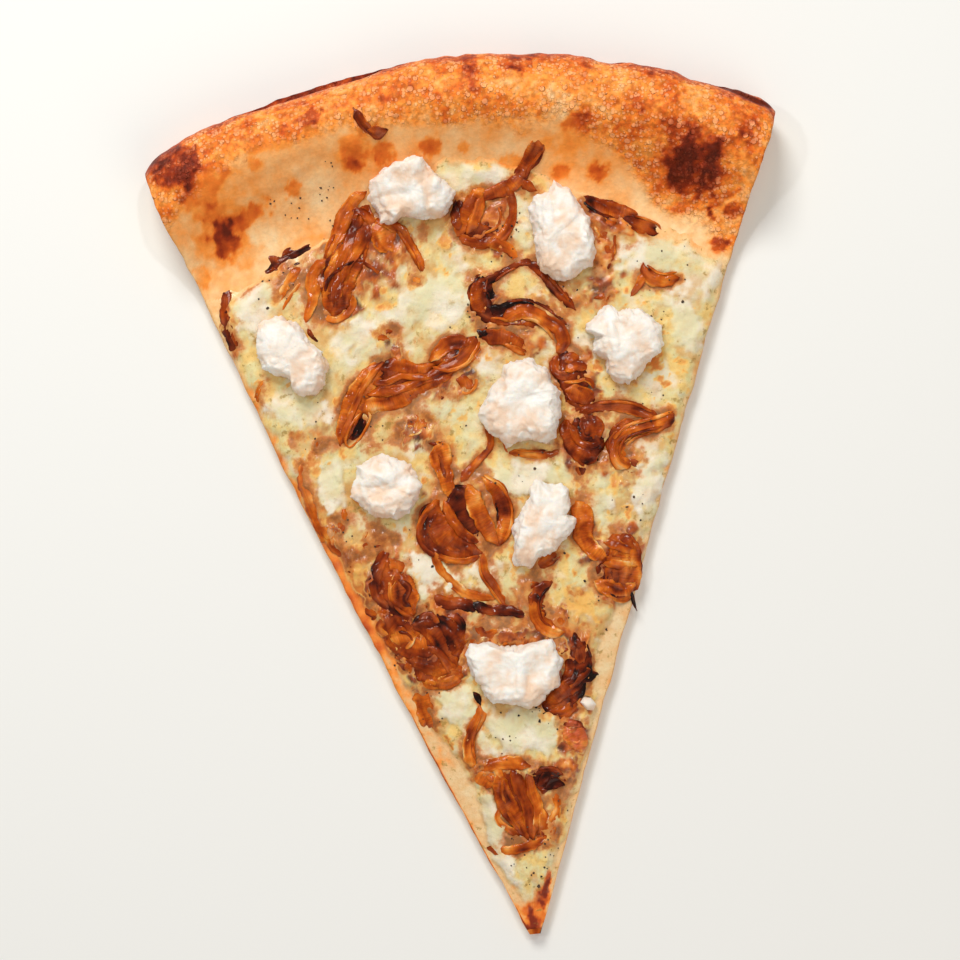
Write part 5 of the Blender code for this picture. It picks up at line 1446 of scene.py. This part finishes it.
def build_ricotta(name, material, seed):
    """A torn lump of ricotta: broad soft curds on a steep, finely scalloped block."""
    centre, height, outline = RICOTTA[name]
    small = height < 4
    angles, radii = outline_radii(centre, outline)
    rng = np.random.default_rng(seed)
    turn = np.linspace(-math.pi, math.pi, RICOTTA_SPOKES, endpoint=False)
    reach = np.interp(turn, angles, radii, period=2 * math.pi)
    spoke_x, spoke_y = np.cos(turn), np.sin(turn)
    edge_x, edge_y = centre[0] + reach * spoke_x, centre[1] + reach * spoke_y
    lobes = np.sqrt(np.abs(grain(edge_x, edge_y, 0, 2.2, 301 + seed)))
    crumbs = np.sqrt(np.abs(grain(edge_x, edge_y, 0, 0.9, 331 + seed)))
    sway = grain(edge_x, edge_y, 0, 5.0, 361 + seed)
    reach = reach + (0.25 if small else -0.5)
    scallop = (0.45 * lobes + 0.30 * crumbs + 0.35 * sway) * (0.2 if small else 1.0)

    t = np.linspace(0.0, 1.0, RICOTTA_RINGS + 1)[1:, None]
    share = 1 - (1 - t) ** 1.7
    out = reach * share + scallop * share**22
    x, y = centre[0] + out * spoke_x, centre[1] + out * spoke_y
    floor = sample(BED_AROUND, x, y)
    wall = np.maximum(0.0, 1 - share ** (3 if small else 9)) ** 0.5
    # Broad facets lean away from the middle, and a few soft curds stand on them.
    dx, dy = (x - centre[0]) / radii.mean(), (y - centre[1]) / radii.mean()
    total = 0.0
    for index in range(RICOTTA_FACETS):
        angle = index * 2 * math.pi / RICOTTA_FACETS + rng.uniform(-0.4, 0.4)
        slope = rng.uniform(0.05, 0.42)
        facet = rng.uniform(0.95, 1.12) - slope * (dx * math.cos(angle) + dy * math.sin(angle))
        total = total + np.exp(-FACET_SHARPNESS * facet)
    lowest = -np.log(total / RICOTTA_FACETS) / FACET_SHARPNESS
    rise = height * 0.94 * np.clip(lowest, 0.2, 1.2) * wall
    for _ in range(0 if small else RICOTTA_CURDS):
        angle = rng.uniform(-math.pi, math.pi)
        middle = math.sqrt(rng.uniform(0.0, 0.5))
        middle = middle * np.interp(angle, angles, radii, period=2 * math.pi)
        size, spin, stretch = rng.uniform(2.2, 5.0), rng.uniform(0, math.pi), rng.uniform(1.2, 2.2)
        px = x - centre[0] - middle * math.cos(angle)
        py = y - centre[1] - middle * math.sin(angle)
        along = (px * math.cos(spin) + py * math.sin(spin)) / (size * stretch)
        over = (py * math.cos(spin) - px * math.sin(spin)) / (size / stretch)
        swell = np.maximum(0.0, 1 - (along**2 + over**2) ** 2)
        rise = rise + rng.uniform(-0.5, 0.75) * swell**1.5 * wall
    bent_x, bent_y = x + 1.4 * grain(x, y, 0, 3.5, 391), y + 1.4 * grain(x, y, 0, 3.5, 392)
    torn = 0.45 * np.tanh(2.8 * grain(bent_x, bent_y, 0, 5.5, 302 + seed))
    torn = torn - 0.40 * np.abs(grain(bent_x, bent_y, 0, 6.5, 303 + seed))
    torn = torn + 0.17 * fractal(x, y, 0, 1.8, 304, 3)
    near, _ = cells(bent_x, bent_y, 2.5, 395)
    torn = torn + 0.45 * smooth(1.1 - 1.8 * near) * smooth(1.7 * share - 0.5) * smooth(0.6 - 0.9 * dy)
    rise = rise + torn * wall * (0.3 if small else 1.0)
    surface = floor + 0.20 * height + 0.80 * np.maximum(rise, 0)
    rings = [np.stack([x, y, surface], axis=-1)]
    for scale, level in RICOTTA_FOOT_RINGS:
        low_x = centre[0] + (reach + scallop) * scale * spoke_x
        low_y = centre[1] + (reach + scallop) * scale * spoke_y
        low = sample(BED_AROUND, low_x, low_y) + level * height
        rings.append(np.stack([low_x, low_y, low], axis=-1)[None])
    rings = np.concatenate(rings)
    # The torn sides are lumpy up and down as well as around.
    if not small:
        rx, ry, rz = np.moveaxis(rings.copy(), -1, 0)
        steep = smooth(1.6 * np.hypot(rx - centre[0], ry - centre[1]) / reach - 0.7)
        lump = 0.8 * fractal(rx, ry, rz, 3.4, 396 + seed, 2)
        lump = lump - 0.4 * np.abs(grain(rx, ry, rz, 1.7, 397 + seed))
        rings[..., 0] += steep * lump * spoke_x
        rings[..., 1] += steep * lump * spoke_y
        rings[..., 0] += 0.4 * steep * grain(rx, ry, rz, 1.9, 398 + seed)
        rings[..., 1] += 0.4 * steep * grain(rx, ry, rz, 1.9, 399 + seed)
        rings[1:-1, :, 2] += 0.3 * (steep * grain(rx, ry, rz, 1.7, 400 + seed))[1:-1]
    rows = len(rings)
    peak = [centre[0], centre[1], float(surface[0].mean())]
    points = np.concatenate([rings.reshape(-1, 3), [peak]])
    at = np.arange(rows * RICOTTA_SPOKES).reshape(rows, RICOTTA_SPOKES)
    after = np.roll(at, -1, axis=1)
    corners = (at[:-1], at[1:], after[1:], after[:-1])
    faces = np.stack([corner.ravel() for corner in corners], axis=1).tolist()
    faces += [[rows * RICOTTA_SPOKES, int(a), int(b)] for a, b in zip(at[0], after[0])]
    faces.append(at[-1, ::-1].tolist())

    # Painted shade: the ricotta turns peach in its hollows and on its lower (-Y) side, over a random
    # peach mottle.
    level = rings[..., 2]
    around = (np.roll(level, 9, axis=1) + np.roll(level, -9, axis=1)) / 2
    row = np.arange(rows)
    outward = (level[np.minimum(row + 4, rows - 1)] + level[np.maximum(row - 4, 0)]) / 2
    hollow_shade = np.clip((0.5 * (around + outward) - level) / 0.5, -1, 1)
    rx, ry = rings[..., 0], rings[..., 1]
    lower = 0.30 * (centre[1] - ry) / radii.mean()
    peach_and_shade = smooth(0.40 + lower + 0.55 * hollow_shade + 0.9 * fractal(rx, ry, 0, 7.0, 305 + seed, 3))
    colour = blend(srgb(RICOTTA_WHITE), srgb(RICOTTA_PEACH_AND_SHADE), 0.80 * peach_and_shade)
    # Painted contact shadow: darker where the dollop's foot nears the bed.
    foot = smooth(1 - (level - sample(BED_AROUND, rx, ry)) / 1.4)
    colour = blend(colour, srgb(RICOTTA_FOOT_SHADOW), 0.7 * foot)
    colour = np.concatenate([colour.reshape(-1, 3), colour[0].mean(axis=0)[None]])
    paint = np.concatenate([colour, np.zeros((len(colour), 1)) + 0.2], axis=1)
    return make_piece(name + "_curd", points, faces, paint, material, "ricotta", name)


# Cracked pepper seen in groups: centre, spread, number.
PEPPER_GROUPS = [
    ((-48, 81), 5, 7), ((-40, 83), 3.5, 7), ((-35, 86), 4, 5), ((-33, 93), 3, 2), ((2, -59), 5, 9),
    ((-1, -65), 5, 7), ((6, -62), 5, 5), ((0, -97), 5, 10), ((6, -95), 3, 6), ((-1, -104), 4, 7),
    ((-52, 60), 5, 8), ((-36, 74), 5, 5), ((14, 72), 3, 6), ((10, 64), 4, 6), ((26, 50), 8, 6),
    ((-25, 22), 10, 8), ((-30, 12), 12, 8), ((-18, -12), 9, 8), ((-50, 24), 9, 6), ((48, 50), 9, 8),
    ((45, 20), 10, 7), ((8, 3), 8, 8), ((35, -5), 8, 7), ((20, -30), 8, 7), ((-20, -55), 6, 6),
    ((12, -80), 5, 5), ((-8, 15), 6, 5), ((-40, -5), 8, 6), ((55, 60), 8, 5), ((0, 50), 10, 7),
    ((-55, 40), 8, 4), ((30, -40), 6, 4), ((-31, -42), 4, 3),
]


def build_pepper(material, bed):
    """Cracked pepper: jagged flecks laid on the toppings."""
    rng = np.random.default_rng(77)
    shape = bmesh.new()
    for centre, spread, number in PEPPER_GROUPS:
        for _ in range(number):
            x, y = rng.normal(centre[0], spread * 0.6), rng.normal(centre[1], spread * 0.6)
            size = rng.uniform(0.14, 0.34) * (1.5 if rng.uniform() < 0.12 else 1.0)
            edge, _ = side_depth(np.array([x]), np.array([y]))
            if edge[0] < 1.0:
                continue
            level = float(sample(bed, np.array([x]), np.array([y]))[0])
            fleck = bmesh.ops.create_icosphere(shape, subdivisions=1, radius=size)["verts"]
            for vertex in fleck:
                jag = 1 + rng.uniform(-0.35, 0.35)
                vertex.co = Vector((x, y, level)) + Vector(vertex.co) * jag
    points = np.array([vertex.co[:] for vertex in shape.verts])
    faces = [[vertex.index for vertex in face.verts] for face in shape.faces]
    shape.free()
    return make_piece("cracked_pepper", points, faces, None, material, "onion")


# ---------------------------------------------------------------- materials
class Look:
    """A material and short ways to make the nodes it needs."""

    def __init__(self, name, **values):
        self.material = bpy.data.materials.new(name)
        self.material.use_nodes = True
        self.tree = self.material.node_tree
        self.shader = self.tree.nodes["Principled BSDF"]
        self.fill(self.shader, **values)

    def feed(self, socket, value):
        """Links a socket to another node's, or sets its value."""
        if isinstance(value, bpy.types.NodeSocket):
            self.tree.links.new(value, socket)
        else:
            socket.default_value = value

    def fill(self, made, **values):
        """Feeds sockets by name, with _ for a space, and sets a node's own settings."""
        for name, value in values.items():
            socket = name.replace("_", " ")
            if socket in made.inputs:
                self.feed(made.inputs[socket], value)
            else:
                setattr(made, name, value)

    def node(self, kind, *inputs, **values):
        """A node whose first inputs are given in order and others by name."""
        made = self.tree.nodes.new("ShaderNode" + kind)
        self.fill(made, **values)
        for socket, value in zip(made.inputs, inputs):
            self.feed(socket, value)
        return made.outputs

    def place(self):
        return self.node("TexCoord")["Object"]

    def attribute(self, name):
        return self.node("Attribute", attribute_name=name)

    def noise(self, place, scale, detail=3.0, rough=0.55):
        made = self.node("TexNoise", Vector=place, Scale=scale, Detail=detail, Roughness=rough)
        return made["Fac"]

    def between(self, value, low, high, to_low=0.0, to_high=1.0):
        """The value's smooth passage from low to high, as one from to_low to to_high."""
        made = self.node("MapRange", interpolation_type="SMOOTHSTEP", Value=value, From_Min=low,
                         From_Max=high, To_Min=to_low, To_Max=to_high)
        return made["Result"]

    def mix(self, share, first, second, kind="MIX"):
        made = self.node("Mix", data_type="RGBA", blend_type=kind, Factor=share, A=first, B=second)
        return made["Result"]

    def times(self, first, second):
        return self.node("Math", first, second, operation="MULTIPLY")["Value"]

    def add(self, first, second, scale=1.0):
        """first + second * scale."""
        return self.node("Math", second, scale, first, operation="MULTIPLY_ADD")["Value"]

    def shaded(self, colour, level):
        """The colour times a level."""
        grey = self.node("CombineColor", level, level, level)["Color"]
        return self.mix(1.0, colour, grey, "MULTIPLY")

    def dots(self, place, scale, small, large):
        """1 inside scattered round dots, each of its own size, and 0 outside."""
        texture = self.node("TexVoronoi", Vector=place, Scale=scale, Randomness=1.0)
        own = self.node("SeparateColor", Color=texture["Color"])["Red"]
        size = self.between(own, 0.0, 1.0, small, large)
        gap = self.node("Math", size, texture["Distance"], operation="SUBTRACT")["Value"]
        return self.between(gap, 0.0, 0.10)

    def relief(self, *layers):
        """Fine relief in layers over one another, each a height, a distance and a strength."""
        values = {}
        for height, distance, strength in layers:
            made = self.node("Bump", Height=height, Distance=distance, Strength=strength, **values)
            values = {"Normal": made["Normal"]}
        self.fill(self.shader, **values)


def shade(colour):
    return (*srgb(colour), 1.0)


def crust_material():
    look = Look("baked_crust", Roughness=0.48, Specular_IOR_Level=0.12, Subsurface_Weight=0.06,
                Subsurface_Radius=(1.0, 0.5, 0.25), Subsurface_Scale=0.0012)
    place, paint = look.place(), look.attribute("paint")
    baked, band = paint["Color"], paint["Alpha"]
    patchy = look.between(look.noise(place, 140.0), 0.34, 0.58, 0.10, 1.0)
    large, small = [look.times(look.times(look.dots(place, *sizes), patchy), band)
                    for sizes in (LARGE_BUBBLES, SMALL_BUBBLES)]
    freckle = look.between(look.noise(place, 700.0, 4.0, 0.65), 0.35, 0.65, 0.72, 1.18)
    freckled = look.shaded(baked, freckle)
    colour = look.mix(look.between(band, 0.0, 0.7, 0.25, 1.0), baked, freckled)
    lightness = look.node("RGBToBW", Color=baked)["Val"]
    brighter = look.mix(1.0, baked, BUBBLE_GAIN, "MULTIPLY")
    pale_share = look.between(lightness, 0.04, 0.30, 0.03, 0.60)
    lighter = look.mix(pale_share, brighter, shade(BUBBLE_PALE))
    for bubbles in (small, large):
        colour = look.mix(look.times(bubbles, 0.62), colour, lighter)
    look.fill(look.shader, Base_Color=colour)
    flour = look.noise(place, 1300.0, 4.0, 0.6)
    look.relief((large, 0.00045, 0.9), (small, 0.00025, 0.9), (flour, 0.00022, 0.7))
    return look.material


def cheese_material():
    look = Look("melted_cheese", Coat_Roughness=0.14, Specular_IOR_Level=0.22, Subsurface_Weight=0.12,
                Subsurface_Radius=(1.0, 0.7, 0.4), Subsurface_Scale=0.0012)
    place, paint, marks = look.place(), look.attribute("paint"), look.attribute("marks")
    split = look.node("SeparateColor", Color=marks["Color"])
    gloss = marks["Alpha"]
    coarse = look.noise(place, 260.0, 4.0, 0.5)
    fine = look.noise(place, 900.0, 5.0, 0.65)

    def broken(level, coarse_share, fine_share):
        return look.add(look.add(level, coarse, coarse_share), fine, fine_share)

    tint = look.mix(look.between(fine, 0.34, 0.66), shade(CHEESE_SHADOW), shade(CHEESE_LIGHT))
    colour = look.mix(0.4, paint["Color"], tint, "MULTIPLY")
    curd = look.between(broken(split["Red"], 0.9, 0.22), 0.55, 1.50)
    curd = look.times(curd, look.between(gloss, 0.46, 0.62, 1.0, 0.0))
    milky = look.between(look.noise(place, 110.0, 2.0, 0.5), 0.40, 0.62)
    milky = look.mix(milky, shade(CHEESE_WHITE), shade(CHEESE_MILKY))
    toast = broken(split["Blue"], 0.5, 0.3)
    stain = broken(split["Green"], -0.8, 0.9)
    amber = look.mix(look.between(stain, 0.30, 0.75), shade(STAIN_AMBER), shade(STAIN_RUST))
    brown = look.mix(look.between(stain, 0.70, 1.20), amber, shade(STAIN_BROWN))
    for level, most, over in (
        (curd, 0.82, milky),
        (look.between(toast, 0.62, 0.95), 0.80, shade(TOAST_HALO)),
        (look.between(toast, 0.92, 1.30), 0.85, shade(TOAST_BROWN)),
        (look.between(stain, 0.22, 0.80), 0.85, brown),
    ):
        colour = look.mix(look.times(level, most), colour, over)
    pits = look.add(look.noise(place, 560.0, 4.0, 0.6), coarse, -0.55)
    pits = look.between(pits, 0.32, 0.44, 0.0, 0.75)
    pits = look.times(pits, look.between(curd, 0.2, 0.8, 1.0, 0.25))
    pits = look.times(pits, look.between(gloss, 0.38, 0.62, 1.0, 0.1))
    colour = look.mix(pits, colour, shade(CHEESE_OIL))
    look.fill(look.shader, Base_Color=colour, Roughness=look.between(gloss, 0.0, 1.0, 0.55, 0.28),
              Coat_Weight=look.between(gloss, 0.35, 0.9, 0.04, 0.45))
    look.relief((curd, 0.0004, 0.35), (fine, 0.00035, 0.8))
    return look.material


def onion_material():
    look = Look("caramelized_onion", Roughness=0.40, Specular_IOR_Level=0.05, Coat_Weight=0.27,
                Coat_Roughness=0.12, Subsurface_Weight=0.22, Subsurface_Radius=(1.0, 0.35, 0.08),
                Subsurface_Scale=0.0009)
    grain_place, paint = look.attribute("grain")["Vector"], look.attribute("paint")

    def streaks(across, along):
        place = look.node("Mapping", Vector=grain_place, Scale=(across, along, 1.0))["Vector"]
        return look.noise(place, 1.0, 3.0, 0.6)

    # Narrow strands have fibres along them, and broad ones across.
    fibre = look.node("Mix", data_type="FLOAT", Factor=paint["Alpha"], A=streaks(1.5, 0.16),
                      B=streaks(0.25, 2.4))["Result"]
    lines = look.between(fibre, 0.32, 0.68, 0.84, 1.12)
    look.fill(look.shader, Base_Color=look.shaded(paint["Color"], lines))
    dimples = look.noise(look.place(), 700.0, 3.0, 0.55)
    look.relief((fibre, 0.0002, 0.5), (dimples, 0.00035, 0.8))
    return look.material


def ricotta_material():
    look = Look("ricotta", Roughness=0.55, Subsurface_Weight=0.22,
                Subsurface_Radius=(1.0, 0.75, 0.55), Subsurface_Scale=0.0015)
    place, paint = look.place(), look.attribute("paint")
    cloud = look.between(look.noise(place, 260.0, 4.0, 0.6), 0.35, 0.65)
    tint = look.mix(cloud, shade(RICOTTA_SHADOW), shade(RICOTTA_LIGHT))
    look.fill(look.shader, Base_Color=look.mix(0.7, paint["Color"], tint, "MULTIPLY"))
    look.relief((look.noise(place, 1300.0, 4.0, 0.6), 0.00025, 0.7))
    return look.material


def pepper_material():
    look = Look("pepper", Roughness=0.7)
    fleck = look.between(look.noise(look.place(), 800.0), 0.4, 0.6)
    look.fill(look.shader, Base_Color=look.mix(fleck, shade(PEPPER_DARK), shade(PEPPER_PALE)))
    return look.material


# ---------------------------------------------------------------- floor, lights and camera
CAMERA_CENTRE = (-3.2, 4.7)
CAMERA_HEIGHT = 600.0
CAMERA_TURN = -5.5
FIELD_WIDTH = 256.3
FIELD_LEVEL = 7.0
SENSOR = 36.0
FLOOR_SIZE = 6.0
WORLD_COLOUR = (0.99, 0.98, 0.96, 1.0)
WORLD_STRENGTH = 0.36
# Each light: name, place, size, power, colour.
LIGHTS = [
    ("key", (-0.20, 0.80, 0.80), 0.45, 7.9, (1.0, 0.96, 0.91)),
    ("glint_back", (0.25, 0.45, 0.95), 0.07, 1.2, WHITE),
    ("glint_side", (-0.55, 0.25, 0.90), 0.07, 1.2, WHITE),
    ("fill", (0.5, -0.8, 0.9), 0.9, 3.4, (1.0, 0.84, 0.72)),
]


def add_to_scene(name, data, place, turn):
    made = bpy.data.objects.new(name, data)
    made.location = place
    made.rotation_euler = turn
    bpy.context.scene.collection.objects.link(made)
    return made


def build_stage():
    bpy.ops.mesh.primitive_plane_add(size=FLOOR_SIZE, location=(0, 0, 0))
    floor = bpy.context.object
    floor.name = "floor"
    look = Look("pale_floor", Base_Color=shade(FLOOR_PALE), Roughness=0.6)
    floor.data.materials.append(look.material)


def build_light():
    world = bpy.data.worlds.new("studio")
    world.use_nodes = True
    background = world.node_tree.nodes["Background"]
    background.inputs["Color"].default_value = WORLD_COLOUR
    background.inputs["Strength"].default_value = WORLD_STRENGTH
    bpy.context.scene.world = world
    for name, place, size, power, colour in LIGHTS:
        data = bpy.data.lights.new(name, "AREA")
        data.shape = "DISK"
        data.size = size
        data.energy = power
        data.color = colour
        add_to_scene(name, data, place, (-Vector(place)).to_track_quat("-Z", "Y").to_euler())
    bpy.context.scene.view_settings.view_transform = "Standard"


def build_camera():
    data = bpy.data.cameras.new("camera")
    data.sensor_width = SENSOR
    data.lens = SENSOR * (CAMERA_HEIGHT - FIELD_LEVEL) / FIELD_WIDTH
    place = [value * MM for value in (*CAMERA_CENTRE, CAMERA_HEIGHT)]
    camera = add_to_scene("camera", data, place, (0, 0, math.radians(CAMERA_TURN)))
    bpy.context.scene.camera = camera


def main():
    build_camera()
    build_light()
    build_stage()
    build_crust(crust_material())
    build_cheese(cheese_material())
    curd = ricotta_material()
    for number, name in enumerate(RICOTTA, start=1):
        build_ricotta(name, curd, number)
    bed = build_onion(onion_material())
    build_pepper(pepper_material(), bed)


main()
